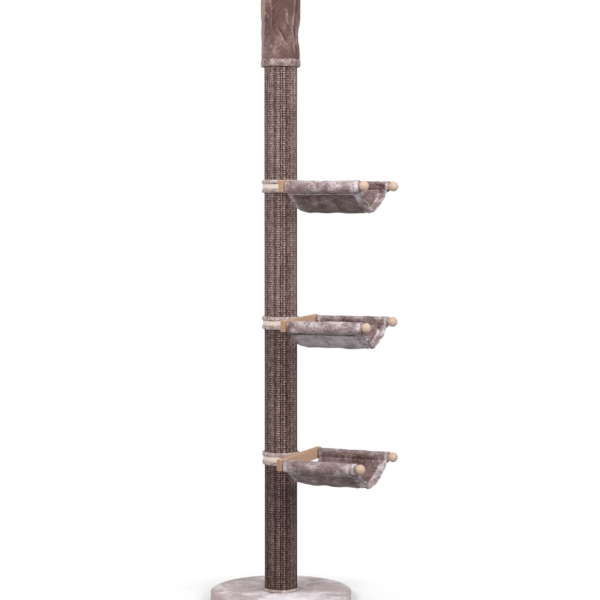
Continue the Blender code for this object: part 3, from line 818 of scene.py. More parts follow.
@dataclass
class Base:
    """The round foot: a board in a pale plush cover, on a non-slip sheet."""

    nodes: dict[str, bpy.types.Object]
    columns: int = 288
    puckers: int = 46  # folds where the plush is drawn under the board
    pile_height: float = 0.0006

    def build(self) -> list[bpy.types.Object]:
        """Makes the cover, dresses what it covers, and returns the new pieces."""
        low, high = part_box("base_plush_cover")
        board_low, board_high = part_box("base_board")
        radius = high.x
        inside = board_high.x + CLEARANCE
        hem = self.nodes_hem(radius)
        edge = 0.0085
        arc = [
            (radius - edge + edge * math.sin(turn), high.z - edge + edge * math.cos(turn))
            for turn in np.linspace(0, math.pi / 2, 9)
        ]
        top = [(reach, high.z) for reach in np.linspace(0.004, radius - edge, 62)[:-1]]
        side = [(radius, level) for level in np.linspace(high.z - edge, 0.006, 9)[1:]]
        under, over = board_low.z - CLEARANCE, board_high.z + CLEARANCE
        turn_in = [(radius - 0.0012, 0.0022), (radius - 0.004, low.z), (hem, low.z), (hem, under)]
        back = [(inside, under), (inside, over), (0.004, over)]
        profile = np.array(top + arc + side + turn_in + back)
        points = turned(profile, self.columns)
        outer = len(top) + len(arc) + len(side)
        points[:outer] = self.relief(points[:outer], radius, high.z)
        cover = Lattice(points, rows_close=True, columns_close=True).piece("base_cover")
        places, normals = places_of(cover.data)
        # nap patches, painted shade on the cover's side and underside, a painted pool of light at the front
        # right and painted shade at the back left
        brushed = Ripple(0.35, 14).at(places) * 0.35 - 1.3 * (normals[:, 2] < 0.35)
        bright = np.exp(-(((places[:, 0] - 0.10) ** 2 + (places[:, 1] + 0.17) ** 2) / 0.026))
        dull = np.exp(-(((places[:, 0] + 0.06) ** 2 + (places[:, 1] - 0.06) ** 2) / 0.022))
        lay_nap_and_shade(cover, brushed + 0.25 + 0.7 * bright - 0.6 * dull)
        BASE_PLUSH.dress(cover)
        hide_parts("base_plush_cover")
        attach(cover, "stand")
        Plain("base_board_wood", Sheet.CHIPBOARD).dress_nodes(self.nodes, "base_board")
        Plain("grip_rubber", Sheet.RUBBER).dress_nodes(self.nodes, "base_grip_pad")
        PLATED.dress_nodes(self.nodes, *(f"base_bolt_{number}" for number in (1, 2, 3)))
        return [cover]

    def nodes_hem(self, radius: float) -> float:
        """Returns the radius where the cover's hem ends under the base, just outside the non-slip sheet."""
        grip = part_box("base_grip_pad")[1].x
        return min(grip + 0.0005, radius)

    def relief(self, points: np.ndarray, radius: float, top: float) -> np.ndarray:
        """Lays the plush's unevenness and its puckers at the edge into the cover's outer rows.

        Args:
            points: The outer rows.
            radius: The cover's radius.
            top: The height of its upper face.

        Returns:
            The moved points.
        """
        reach = np.hypot(points[..., 0], points[..., 1])
        turn = np.arctan2(points[..., 1], points[..., 0])
        lumps = Ripple(0.060, 11).at(points) * 0.55 + Ripple(0.020, 12).at(points) * 0.45
        free = np.clip((reach - 0.080) / 0.02, 0, 1)
        drop = self.pile_height * (0.9 - 0.5 * lumps) * free * (reach < radius - 0.004)
        moved = points.copy()
        moved[..., 2] -= np.maximum(drop, 0) * (points[..., 2] > top - 0.002)
        low = np.clip((top - points[..., 2]) / top, 0, 1)
        pleat = np.sin(turn * self.puckers + 1.5 * Ripple(0.12, 13).at(points))
        draw = -0.0006 * low * (1 + pleat) - 0.0004 * (1 + lumps) * (low > 0)
        return pushed_out(moved, np.where(reach > radius - 0.012, draw, 0.0))


@dataclass
class Post:
    """The column: four lengths in ribbed sisal over cardboard tubes, with a plush roll at its foot."""

    nodes: dict[str, bpy.types.Object]
    ribs: int = 80
    rib_depth: float = 0.0011
    painted_shade_by_length: tuple[float, float, float, float] = (0.24, 0.12, 0.02, 0.05)  # each length's painted shade, from the foot up: darkest at the foot, where less light falls
    steps: int = 6  # columns to a rib
    rows: int = 64

    def build(self) -> list[bpy.types.Object]:
        """Makes the wraps and the roll, dresses the core, and returns the new pieces."""
        made = [self.wrap(number) for number in range(1, 5)]
        made.append(self.foot_roll())
        cardboard = Plain("tube_cardboard", Sheet.CARDBOARD)
        cardboard.dress_nodes(self.nodes, *(f"post_tube_{number}" for number in range(1, 5)))
        plugs = ["foot_plug", "head_plug"]
        for number in range(1, 4):
            plugs += [f"joint_plug_lower_{number}", f"joint_plug_upper_{number}"]
            PLATED.dress_nodes(self.nodes, f"joint_stud_{number}")
        Plain("plug_wood", Sheet.CHIPBOARD).dress_nodes(self.nodes, *plugs)
        return made

    def wrap(self, number: int) -> bpy.types.Object:
        """Makes one length's sisal.

        Args:
            number: The length's number, from 1 at the foot.

        Returns:
            The wrap, ribbed on its outside.
        """
        low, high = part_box(f"sisal_wrap_{number}")
        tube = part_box(f"post_tube_{number}")[1].x
        radius = high.x
        columns = self.ribs * self.steps
        levels = np.linspace(low.z, high.z, self.rows)
        outer = [(radius, level) for level in levels]
        inner = [(tube + CLEARANCE, high.z), (tube + CLEARANCE, low.z)]
        points = turned(np.array(outer + inner), columns)
        rib = np.arange(columns) / self.steps
        crown = np.abs(np.sin(rib * math.pi)) ** 0.7
        lie = Ripple(0.09, 20 + number, (1, 1, 4)).at(points[: self.rows])
        sink = -self.rib_depth * (1 - crown)[None, :] - 0.0002 * (1 + 0.5 * lie)
        points[: self.rows] = pushed_out(points[: self.rows], sink)
        uv_step = (1 / self.steps, (high.z - low.z) / (self.rows - 1))
        made = Lattice(points, rows_close=True, columns_close=True, uv_step=uv_step).piece(f"sisal_{number}")
        # each length gets its painted shade, darkest at the foot
        Sisal(f"woven_sisal_{number}", self.painted_shade_by_length[number - 1]).dress(made)
        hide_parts(f"sisal_wrap_{number}")
        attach(made, "stand")
        return made

    def foot_roll(self) -> bpy.types.Object:
        """Returns the plush roll that hides the joint of post and base."""
        low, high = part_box("foot_trim")
        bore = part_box("sisal_wrap_1")[1].x + CLEARANCE
        middle = (bore + high.x) / 2
        half_wide, half_high = (high.x - bore) / 2, (high.z - low.z) / 2
        turns = np.linspace(0, math.tau, 20, endpoint=False)
        profile = np.stack(
            [middle + half_wide * np.cos(turns), (low.z + high.z) / 2 + half_high * np.sin(turns)], axis=-1
        )
        points = turned(profile, 200)
        lumps = Ripple(0.018, 31).at(points)
        outside = np.clip((np.hypot(points[..., 0], points[..., 1]) - middle) / half_wide, 0, 1)
        made = Lattice(pushed_out(points, 0.0006 * lumps * outside), True, True).piece("foot_roll")
        TRIM_PLUSH.dress(made)
        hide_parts("foot_trim")
        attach(made, "stand")
        return made


@dataclass
class Head:
    """The top: a plush sleeve from the ceiling plate to the post, round the screw that lifts the plate."""

    nodes: dict[str, bpy.types.Object]
    columns: int = 288
    rows: int = 116
    wall: float = 0.0032
    cut_radius: float = 0.085  # of the tube that the sleeve is sewn into
    allowance: float = 0.020  # length that the gathers take up
    dent_turn: float = 21.0  # degrees: the side where the sleeve falls in
    dent_height: float = 2.393
    folds: int = 9
    seed: int = 5
    # each crease: turn and height where it starts and ends, its depth and its half width
    creases: tuple[tuple[float, float, float, float, float, float], ...] = (
        (-76.0, 2.412, -50.0, 2.352, 0.0034, 0.0045),
        (-25.0, 2.610, -20.0, 2.372, 0.0034, 0.0050),
        (-30.0, 2.420, -12.0, 2.300, 0.0026, 0.0050),
        (-98.0, 2.560, -88.0, 2.400, 0.0022, 0.0060),
        (-58.0, 2.500, -36.0, 2.455, 0.0016, 0.0040),
        (-118.0, 2.540, -122.0, 2.330, 0.0026, 0.0080),
        (-64.0, 2.342, -84.0, 2.318, 0.0016, 0.0040),
        (60.0, 2.560, 38.0, 2.330, 0.0034, 0.0060),
        (105.0, 2.590, 128.0, 2.380, 0.0030, 0.0060),
        (150.0, 2.480, 168.0, 2.310, 0.0030, 0.0070),
        (190.0, 2.580, 205.0, 2.340, 0.0030, 0.0060),
    )

    def build(self) -> list[bpy.types.Object]:
        """Makes the sleeve, its hem and the plate's cover, dresses the screw and returns the new pieces."""
        hem = self.hem()
        sleeve = self.sleeve(hem)
        PLATED.dress_nodes(self.nodes, "thrust_plate", "tension_nut", "rod_socket")
        THREADED.dress_nodes(self.nodes, "tension_rod")
        Plain("ceiling_board_wood", Sheet.CHIPBOARD).dress_nodes(self.nodes, "ceiling_board")
        return [sleeve, hem, self.plate_cover()]

    def sleeve_radius(self, turn: np.ndarray, level: np.ndarray) -> np.ndarray:
        """The sleeve's outer radius.

        Args:
            turn: The angle round the post, in radians.
            level: The height.

        Returns:
            The radius at each place.
        """
        low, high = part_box("ceiling_sleeve")
        share = (level - low.z) / (high.z - low.z)
        levels = [0, 0.12, 0.3, 0.5, 0.75, 1]
        radius = np.interp(share, levels, [0.0818, 0.0806, 0.0800, 0.0812, 0.0828, 0.0838])
        rng = np.random.default_rng(self.seed)
        reach = np.sin(np.clip(share * 1.04, 0, 1) * math.pi) ** 0.6
        for number in range(self.folds):
            start = (number + rng.uniform(-0.3, 0.3)) / self.folds * math.tau
            lean = rng.uniform(-0.9, 0.9)
            width = rng.uniform(0.10, 0.22)
            height = rng.uniform(0.0012, 0.0034) * rng.choice([1, 1, -0.6])
            middle, tall = rng.uniform(0.25, 0.8), rng.uniform(0.18, 0.4)
            centre = start + lean * (share - 0.5) + 0.10 * np.sin(share * 9 + number)
            away = (turn - centre + math.pi) % math.tau - math.pi
            radius += height * reach * np.exp(-((away / width) ** 2) - ((share - middle) / tall) ** 2)
        place = np.stack([0.08 * np.cos(turn), 0.08 * np.sin(turn), level], axis=-1)
        lumps = 0.0007 * Ripple(0.045, 41, (1, 1, 1.8)).at(place)
        radius += reach * (lumps + 0.0003 * Ripple(0.014, 42).at(place))
        for crease in self.creases:
            radius += reach * self.crease_relief(turn, level, crease)
        away = (turn - math.radians(self.dent_turn) + math.pi) % math.tau - math.pi
        fall = np.exp(-((away / 0.62) ** 2) - ((level - self.dent_height) / 0.042) ** 2)
        return np.minimum(radius - 0.0095 * fall, 0.0855)

    def crease_relief(
        self, turn: np.ndarray, level: np.ndarray, crease: tuple[float, float, float, float, float, float]
    ) -> np.ndarray:
        """How far one crease pushes the sleeve out or in: a groove with a ridge beside it.

        Args:
            turn: The angle round the post, in radians.
            level: The height.
            crease: Its start, end, depth and half width.

        Returns:
            The change of radius at each place.
        """
        from_turn, from_level, to_turn, to_level, depth, width = crease
        across = ((turn - math.radians(from_turn) + math.pi) % math.tau - math.pi) * 0.082
        run = np.array([math.radians(to_turn - from_turn) * 0.082, to_level - from_level])
        length = float(np.linalg.norm(run))
        run /= length
        along = (across * run[0] + (level - from_level) * run[1]) / length
        off = across * run[1] - (level - from_level) * run[0]
        off = off + 0.10 * length * np.sin(along * math.pi * 1.5) * 0.35
        fade = rise(along, -0.12, 0.25) * (1 - rise(along, 0.75, 1.12))
        lip = 0.75 * np.exp(-(((off - width) / width) ** 2))
        return depth * fade * (lip - np.exp(-((off / width) ** 2)))

    def sleeve(self, hem: bpy.types.Object) -> bpy.types.Object:
        """Makes the loose plush tube.

        Args:
            hem: Not used.

        Returns:
            The tube.
        """
        low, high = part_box("ceiling_sleeve")
        levels = np.linspace(low.z + 0.022, high.z, self.rows)
        turns = np.arange(self.columns) / self.columns * math.tau
        turn, level = np.meshgrid(turns, levels)
        radius = self.sleeve_radius(turn, level)
        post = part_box("head_plug")[1].z
        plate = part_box("ceiling_plush_cover")
        post_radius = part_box("sisal_wrap_4")[1].x
        least = np.where(level < post + 0.004, post_radius, 0.0)
        least = np.where(level > plate[0].z - 0.004, plate[1].x, least)
        radius = np.maximum(radius, least + self.wall + 2 * CLEARANCE)
        inner = radius - self.wall
        outside = np.stack([radius * np.cos(turn), radius * np.sin(turn), level], axis=-1)
        inside = np.stack([inner * np.cos(turn), inner * np.sin(turn), level], axis=-1)
        points = np.concatenate([outside, inside[::-1]])
        made = Lattice(points, rows_close=True, columns_close=True).piece("sleeve")
        places, _ = places_of(made.data)
        spun = np.arctan2(places[:, 1], places[:, 0])
        raised = sum(self.crease_relief(spun, places[:, 2], crease) for crease in self.creases)
        # painted light: a lighter band down one side of the sleeve, painted highlights on the crease lips and
        # painted shade in their grooves
        painted_light_band = np.exp(-(((np.degrees(spun) + 132) / 26) ** 2))
        lie = 1.5 * painted_light_band - 0.35 + 0.45 * Ripple(0.12, 43, (1, 1, 2)).at(places)
        lay_nap_and_shade(made, lie + 1300 * np.maximum(raised, 0) + 700 * np.minimum(raised, 0))
        SLEEVE_PLUSH.dress(made)
        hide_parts("ceiling_sleeve")
        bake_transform(made)
        return made

    def hem(self) -> bpy.types.Object:
        """Returns the fat rolled hem, drawn in on the post by its elastic."""
        low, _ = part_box("ceiling_sleeve")
        post_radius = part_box("sisal_wrap_4")[1].x
        middle = np.array([post_radius + 0.0078, low.z + 0.0165])
        turns = np.linspace(0, math.tau, 28, endpoint=False)
        super_x = np.sign(np.cos(turns)) * np.abs(np.cos(turns)) ** 0.75
        super_z = np.sign(np.sin(turns)) * np.abs(np.sin(turns)) ** 0.8
        profile = np.stack([middle[0] + 0.0066 * super_x, middle[1] + 0.0160 * super_z], axis=-1)
        points = turned(profile, 240)
        lumps = 0.0011 * Ripple(0.030, 51).at(points) + 0.0005 * Ripple(0.010, 52).at(points)
        outside = np.clip((np.hypot(points[..., 0], points[..., 1]) - middle[0] + 0.003) / 0.006, 0, 1)
        points = pushed_out(points, np.minimum(lumps, 0.0012) * outside)
        made = Lattice(points, rows_close=True, columns_close=True).piece("sleeve_hem")
        HEM_PLUSH.dress(made)
        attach(made, "stand")
        return made

    def plate_cover(self) -> bpy.types.Object:
        """Returns the plush cap over the ceiling plate."""
        low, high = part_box("ceiling_plush_cover")
        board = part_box("ceiling_board")
        radius, edge = high.x, 0.004
        arc = [
            (radius - edge + edge * math.sin(turn), high.z - edge + edge * math.cos(turn))
            for turn in np.linspace(0, math.pi / 2, 6)
        ]
        top = [(reach, high.z) for reach in np.linspace(0.002, radius - edge, 24)[:-1]]
        inside = board[1].x + CLEARANCE
        roof = board[1].z + CLEARANCE
        back = [(radius, low.z), (inside, low.z), (inside, roof), (0.002, roof)]
        points = turned(np.array(top + arc + back), 160)
        made = Lattice(points, rows_close=True, columns_close=True).piece("ceiling_plate_cover")
        lay_nap_and_shade(made, 0.3 * Ripple(0.06, 44).at(places_of(made.data)[0]))
        SLEEVE_PLUSH.dress(made)
        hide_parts("ceiling_plush_cover")
        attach(made, "ceiling_head")
        return made


@dataclass
class SlingFrame:
    """One plush sling on its wooden frame, and the strap, band and buckle that hold it to the post.

    The sizes are in the frame's own place: x out from the post, y along the crossbar and z up.
    """

    nodes: dict[str, bpy.types.Object]
    name: str
    turn: float
    sag: float
    draw: float  # how far the outer edge is drawn towards the post along its rear half
    lies: tuple[float, float, float, float]  # the nap attribute's tone, with painted light and shade, on tunnels, under and in the bed, on flaps
    seed: int
    half_spacing: float = 0.190
    seam: tuple[float, float] = (0.027, 0.036)
    bed_start: float = 0.024  # from the dowel's axis to where the bed leaves the seam
    cloth: float = 0.0054
    reach: tuple[float, float] = (0.1045, 0.4165)
    facings: tuple[float, float] = (0.017, 0.033)  # widths of the turned hems at the inner and outer edge
    hem_radius: float = 0.0034
    bar_back: float = 0.0752
    strap_radius: float = 0.07415
    strap_width: float = 0.020
    strap_thickness: float = 0.0015
    strap_end: float = 0.102
    buckle_turn: float = 125.0
    pad_radii: tuple[float, float, float] = (0.0716, 0.0730, 0.0798)  # bore, under the strap, rolls
    pad_half: float = 0.0275
    place: Matrix = field(init=False)

    def __post_init__(self) -> None:
        """Finds the frame's place on the post."""
        low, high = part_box(f"strap_lining_{self.name}")
        turned_round = Matrix.Rotation(math.radians(self.turn), 4, "Z")
        self.place = Matrix.Translation((0, 0, (low.z + high.z) / 2)) @ turned_round

    def build(self) -> list[bpy.types.Object]:
        """Makes the soft pieces and screws, dresses the frame, and returns the new pieces."""
        name = self.name
        BAR_WOOD.dress_nodes(self.nodes, f"crossbar_{name}")
        DOWEL_WOOD.dress_nodes(self.nodes, f"dowel_front_{name}", f"dowel_rear_{name}")
        PLATED.dress_nodes(self.nodes, f"buckle_frame_{name}", f"buckle_cam_{name}")
        Plain("strap_net", Sheet.NET).dress_nodes(self.nodes, f"strap_lining_{name}")
        sling, hems = self.sling()
        return [sling, *hems, self.band(), self.strap(), self.screws()]

    def put(self, piece: bpy.types.Object, finish: Finish, slot: str, *nodes: str) -> None:
        """Sets a finished piece in place on this frame's body.

        Args:
            piece: The piece, in the frame's own place.
            finish: Its finish.
            slot: Not used.
            nodes: The CAD pieces that it stands for.
        """
        piece.data.transform(self.place)
        finish.dress(piece)
        if nodes:
            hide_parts(*nodes)
        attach(piece, f"sling_{self.name}")

    def section(self) -> tuple[np.ndarray, np.ndarray]:
        """The cloth's line across the sling, from the front flap over both dowels to the rear flap.

        Returns:
            The line's points as (y, z), and for each from 0, hanging free, to 1, sewn round a dowel.
        """
        inward, down = self.seam
        sag = self.sag - self.cloth / 2
        half = self.half_spacing - inward
        start = self.half_spacing - self.bed_start
        bed_top = -sag + (sag - down) * (start / half) ** 2
        tunnel = np.array([
            (20.5, -36.0), (18.8, -30.0), (14.0, -25.0), (8.0, -24.9), (-1.0, -25.8), (-10.5, -24.2),
            (-17.6, -18.6), (-22.2, -10.0), (-22.0, 0.0), (-18.8, 9.2), (-12.9, 15.6), (-5.5, 19.0),
            (2.0, 19.6), (9.4, 17.4), (15.6, 12.2), (19.2, 5.2), (19.8, -2.5), (18.2, -9.5),
            (15.6, -16.0), (18.8, -24.0),
        ]) / 1000  # millimetres out and up from the dowel's axis
        tunnel[:, 0] = self.half_spacing - tunnel[:, 0]
        tunnel = np.vstack([tunnel, [start, bed_top]])
        loop = eased(resampled(tunnel, 58), 3)
        y = np.linspace(start, -start, 62)[1:-1]
        bed = np.stack([y, -sag + (sag - down) * (y / half) ** 2], axis=-1)
        line = np.vstack([loop, bed, (loop * [-1, 1])[::-1]])
        sewn = np.concatenate([np.ones(len(loop)), np.zeros(len(bed)), np.ones(len(loop))])
        return (line * [-1, 1]), sewn

    def sling(self) -> tuple[bpy.types.Object, list[bpy.types.Object]]:
        """Returns the sling's cloth and the hems along its two open edges."""
        line, sewn = self.section()
        rows = 66
        share = np.linspace(0, 1, rows)[:, None]
        start = self.half_spacing - self.bed_start
        middle = np.clip(1 - (line[:, 0] / start) ** 2, 0, 1) * (1 - sewn)
        x = self.reach[0] + 0.004 * middle * (1 - share) + (self.reach[1] - self.reach[0]) * share
        outer = rise(x, self.reach[1] - 0.060, self.reach[1])
        inner = 1 - rise(x, self.reach[0], self.reach[0] + 0.03)
        taut = self.taut_front(line[:, 0])
        x = x + (0.003 * taut * (1 - sewn) - self.drawn_in(line)) * outer
        level = line[:, 1] + (0.004 * middle + 0.017 * taut * (1 - sewn)) * outer + 0.008 * inner * middle
        snug = rise(x, self.reach[1] - 0.030, self.reach[1]) * sewn * rise(-line[:, 1], 0.012, 0.024)
        level = level + 0.006 * snug
        points = np.stack([x, np.broadcast_to(line[:, 0], x.shape), level], axis=-1)
        points += self.wrinkles(points, line, sewn, share)
        cloth = Lattice(points).piece(f"sling_cloth_{self.name}")
        hold = np.maximum(sewn, np.minimum(np.roll(sewn, 2) + np.roll(sewn, -2), 1))
        Drape(limit=0.006, growth=0.012, stiffness=20.0, bending=0.3).settle(
            cloth, np.broadcast_to(hold, x.shape).ravel()
        )
        settled = places_of(cloth.data)[0].reshape(points.shape)
        thicken(cloth, self.cloth, self.fullness(share, sewn, len(line)))
        self.lay(cloth)
        hems = [self.edge_hem(settled[row], label) for row, label in ((0, "inner"), (-1, "outer"))]
        self.put(cloth, SLING_PLUSH, "brown_plush", f"sling_{self.name}")
        for hem in hems:
            lay_nap_and_shade(hem, 0.35 + 0.30 * Ripple(0.035, self.seed + 31).at(places_of(hem.data)[0]))
            self.put(hem, SLING_PLUSH, "brown_plush")
        return cloth, hems

    def drawn_in(self, line: np.ndarray) -> np.ndarray:
        """Returns how far the outer edge is drawn in at each (y, z): most along the rear half."""
        low = 0.5 * rise(-line[:, 1], 0.002, 0.024) + 0.5 * rise(-line[:, 1], 0.040, 0.090)
        return self.draw * rise(line[:, 0], -0.07, 0.06) * low

    def taut_front(self, y: np.ndarray) -> np.ndarray:
        """Returns from 0 to 1 how tightly the outer edge runs from the front dowel to the bed's foot."""
        return np.exp(-(((y + 0.095) / 0.045) ** 2))

    def fullness(self, share: np.ndarray, sewn: np.ndarray, columns: int) -> np.ndarray:
        """How thick the cloth is at each point, as a share of its full thickness.

        Args:
            share: From 0 at the inner edge to 1 at the outer edge, for each row.
            sewn: From 0, free, to 1, sewn round a dowel, for each column.
            columns: How many columns the cloth has.

        Returns:
            1 in the doubled hems, less in a single layer and least along the stitches.
        """
        far = share * (self.reach[1] - self.reach[0])
        near = (1 - share) * (self.reach[1] - self.reach[0])
        inner, outer = self.facings
        full = np.where((far < inner) | (near < outer), 1.0, 0.80) * np.ones((1, columns))
        stitches = np.exp(-(((far - inner) / 0.0032) ** 2)) + np.exp(-(((near - outer) / 0.0036) ** 2))
        free = np.clip(1 - sewn, 0.25, 1)
        full = full - 0.55 * stitches * free
        full[:, :3] = 0.6
        full[:, -3:] = 0.6
        return full

    def lay(self, cloth: bpy.types.Object) -> None:
        """Lays the finished cloth's nap attribute with painted light and shade: light on tunnels and hems, a
        lit or shaded tone on each side of the bed, shade inside the tunnels, highlights on stitches, ridges
        and crinkles.
        """
        places, normals = places_of(cloth.data)
        x, y, z = places.T
        tunnel, under, inside, flaps = self.lies
        start = self.half_spacing - self.bed_start
        on_bed = 1 - rise(np.abs(y), start - 0.0005, start + 0.0015)
        # painted light and shade: the bed's underside and its inside each take their own tone for how they
        # are lit
        below = rise(-normals[:, 2], -0.15, 0.15)
        bed = under * below + inside * (1 - below)
        # painted shade inside the tunnels, lighter towards their tops
        inner_side = (np.abs(y) < self.half_spacing - 0.006) & (normals[:, 1] * np.sign(y) < -0.2)
        sewn_lie = np.where(inner_side, inside + 0.15 + 0.9 * rise(z, 0.006, 0.016), tunnel)
        lie = bed * on_bed + sewn_lie * (1 - on_bed)
        # painted highlight along the stitch, with a painted shadow band above it
        stitch = np.exp(-(((z + 0.0165) / 0.0022) ** 2)) * inner_side
        lie = lie + 1.3 * stitch - 0.5 * np.exp(-(((z + 0.008) / 0.005) ** 2)) * inner_side
        # painted light or shadow along the flaps' lower edge
        flap = rise(-z, 0.0325, 0.0345) * (1 - on_bed)
        lie = lie * (1 - flap) + flaps * flap
        near = self.reach[1] - self.drawn_in(places[:, 1:]) - x
        far = x - self.reach[0]
        wide = self.facings[1] * on_bed + 0.013 * (1 - on_bed)
        band = np.maximum(1 - rise(near, wide - 0.006, wide + 0.002), 1 - rise(far, 0.011, 0.017))
        patches = Ripple(0.060, self.seed + 21).at(places)
        hem = np.where(below > 0.5, 0.65, 0.10) * on_bed + 0.60 * (1 - on_bed)
        lie = lie * (1 - band) + (hem + 0.20 * patches) * band + 0.18 * patches
        # painted highlight on the ridge by the outer hem, painted shadow in the pocket beside it, painted
        # highlights on the crinkles at the bed's foot
        ridge = np.exp(-(((near - self.facings[1] + 0.004) / 0.0035) ** 2)) * on_bed * (1 - below)
        pocket = np.exp(-(((near - self.facings[1] - 0.006) / 0.006) ** 2)) * on_bed * (1 - below)
        foot = np.exp(-(((y + 0.02) / 0.055) ** 2)) * (1 - rise(near, 0.030, 0.085)) * on_bed
        crinkles = np.maximum(Ripple(0.022, self.seed + 23).at(places), 0)
        lie = lie + 0.9 * ridge - 0.6 * pocket + 1.3 * foot * crinkles
        lay_nap_and_shade(cloth, lie)

    def wrinkles(
        self, points: np.ndarray, line: np.ndarray, sewn: np.ndarray, share: np.ndarray
    ) -> np.ndarray:
        """The cloth's folds and puckers before it settles.

        Args:
            points: The cloth's points, rows along x by columns along its line.
            line: The line's points as (y, z).
            sewn: From 0, free, to 1, sewn round a dowel, for each column.
            share: From 0 at the inner edge to 1 at the outer edge, for each row.

        Returns:
            How far each point moves.
        """
        heading = np.gradient(line, axis=0)
        heading /= np.linalg.norm(heading, axis=1, keepdims=True)
        normal = np.stack([np.zeros(len(line)), -heading[:, 1], heading[:, 0]], axis=-1)
        start = self.half_spacing - self.bed_start
        away = np.maximum(start - np.abs(line[:, 0]), 0)
        near_seam = np.exp(-((away / 0.035) ** 2))
        edge = np.exp(-(((1 - share) / 0.12) ** 2)) + 0.4 * np.exp(-((share / 0.08) ** 2))
        bed = rise(away, 0.0, 0.02) * (1 - sewn)
        broad = Ripple(0.090, self.seed, (1.0, 2.5, 2.5)).at(points)
        cross = Ripple(0.055, self.seed + 1, (1.6, 1.0, 1.0)).at(points)
        gathers = Ripple(0.020, self.seed + 2, (1.0, 6.0, 6.0)).at(points)
        amount = bed * (0.0016 * broad + 0.0013 * cross * edge) + 0.0009 * gathers * near_seam * (1 - sewn)
        lumps = Ripple(0.030, self.seed + 3, (1.8, 1.0, 1.0)).at(points)
        small = Ripple(0.012, self.seed + 5).at(points)
        outer_side = (np.abs(line[:, 0]) > self.half_spacing - 0.006) | (line[:, 1] < -0.024)
        amount = amount + sewn * outer_side * (0.0007 * (1 + lumps) + 0.0003 * small)
        foot = np.exp(-(((line[:, 0] + 0.03) / 0.06) ** 2)) * np.exp(-(((1 - share) / 0.14) ** 2))
        crumple = bed * (0.0016 * edge * Ripple(0.045, self.seed + 4).at(points))
        crumple = crumple + bed * foot * 0.0030 * Ripple(0.022, self.seed + 6).at(points)
        return (amount + crumple)[..., None] * normal

    def edge_hem(self, edge: np.ndarray, label: str) -> bpy.types.Object:
        """Makes the turned hem along one open edge of the cloth.

        Args:
            edge: The points of the cloth's edge.
            label: Which edge it is.

        Returns:
            The hem, a soft tube.
        """
        path = eased(resampled(edge, 190), 3)
        across = np.tile([1.0, 0.0, 0.0], (len(path), 1))
        turns = np.linspace(0, math.tau, 14, endpoint=False)
        section = self.hem_radius * np.stack([1.0 * np.cos(turns), 1.12 * np.sin(turns)], axis=-1)
        points = tube_along(path, across, section)
        lumps = Ripple(0.013, self.seed + 7).at(points)[..., None]
        points += (points - path[:, None]) * 0.10 * lumps
        for end, row in ((0, path[0]), (-1, path[-1])):
            points[end] = row + (points[end] - row) * 0.35
        made = Lattice(points, columns_close=True).piece(f"sling_hem_{label}_{self.name}")
        capped(made, len(turns))
        return made

    def band(self) -> bpy.types.Object:
        """Returns the plush band under the strap, which swells above and below it."""
        bore, waist, roll = self.pad_radii
        half = self.strap_width / 2 + 0.0010
        deep = self.pad_half - half
        turns = np.linspace(-0.15 * math.pi, math.pi, 15)
        swell = []
        for turn in turns:
            reach = waist + (roll - waist) * (0.5 + 0.5 * math.sin(turn))
            if turn >= math.pi / 2:
                reach = bore + (roll - bore) * math.sin(turn) ** 0.8
            swell.append((reach, half + deep * (0.5 - 0.5 * math.cos(max(turn, 0)))))
        upper = [(waist, 0.0), (waist, half * 0.6), *swell[2:-1], (bore, self.pad_half)]
        lower = [(radius, -height) for radius, height in upper[:0:-1]]
        points = turned(np.array(lower + upper), 224)
        height = np.abs(points[..., 2])
        turn = np.arctan2(points[..., 1], points[..., 0])
        ring = Ripple(0.020, self.seed + 11).at(points)
        pucker = np.sin(turn * 34 + 1.8 * Ripple(0.15, self.seed + 12).at(points))
        outside = np.hypot(points[..., 0], points[..., 1]) > bore + 0.002
        soft = np.clip((height - half * 0.9) / 0.006, 0, 1) * outside
        points = pushed_out(points, soft * (0.0006 * ring + 0.0006 * pucker - 0.0008))
        points[..., 0] = np.minimum(points[..., 0], self.bar_back - CLEARANCE)
        made = Lattice(points, rows_close=True, columns_close=True).piece(f"strap_band_{self.name}")
        self.put(made, TRIM_PLUSH, "trim_plush", f"strap_pad_{self.name}")
        return made

    def strap_line(self) -> np.ndarray:
        """The strap's line from above: flat in the buckle, round the band and square onto the crossbar."""
        tab = self.bar_back - CLEARANCE - self.strap_thickness / 2
        radius = self.strap_radius
        corner = 0.004
        ends = [(tab, self.strap_end), (tab, radius + corner)]
        bend = [
            (tab - corner + corner * math.cos(turn), radius + corner - corner * math.sin(turn))
            for turn in np.linspace(0, math.pi / 2, 6)[1:]
        ]
        straight = [(step * (tab - corner), radius) for step in np.linspace(0.9, 0.1, 8)]
        flat = radius + 0.0012
        half = math.degrees(math.atan2(0.013, flat))
        far = math.hypot(0.013, flat)
        arc = []
        for turn in np.arange(90, 270.1, 2.5):
            off = turn - self.buckle_turn
            if abs(off) > 18:
                arc.append(polar(radius, turn))
            elif abs(off) < 1.25:
                arc.append(polar(far, self.buckle_turn - half))
                arc.append(polar(flat, self.buckle_turn))
                arc.append(polar(far, self.buckle_turn + half))
        near = [(x, -y) for x, y in (ends + bend + straight)[::-1]]
        return np.array(ends + bend + straight + arc + near)

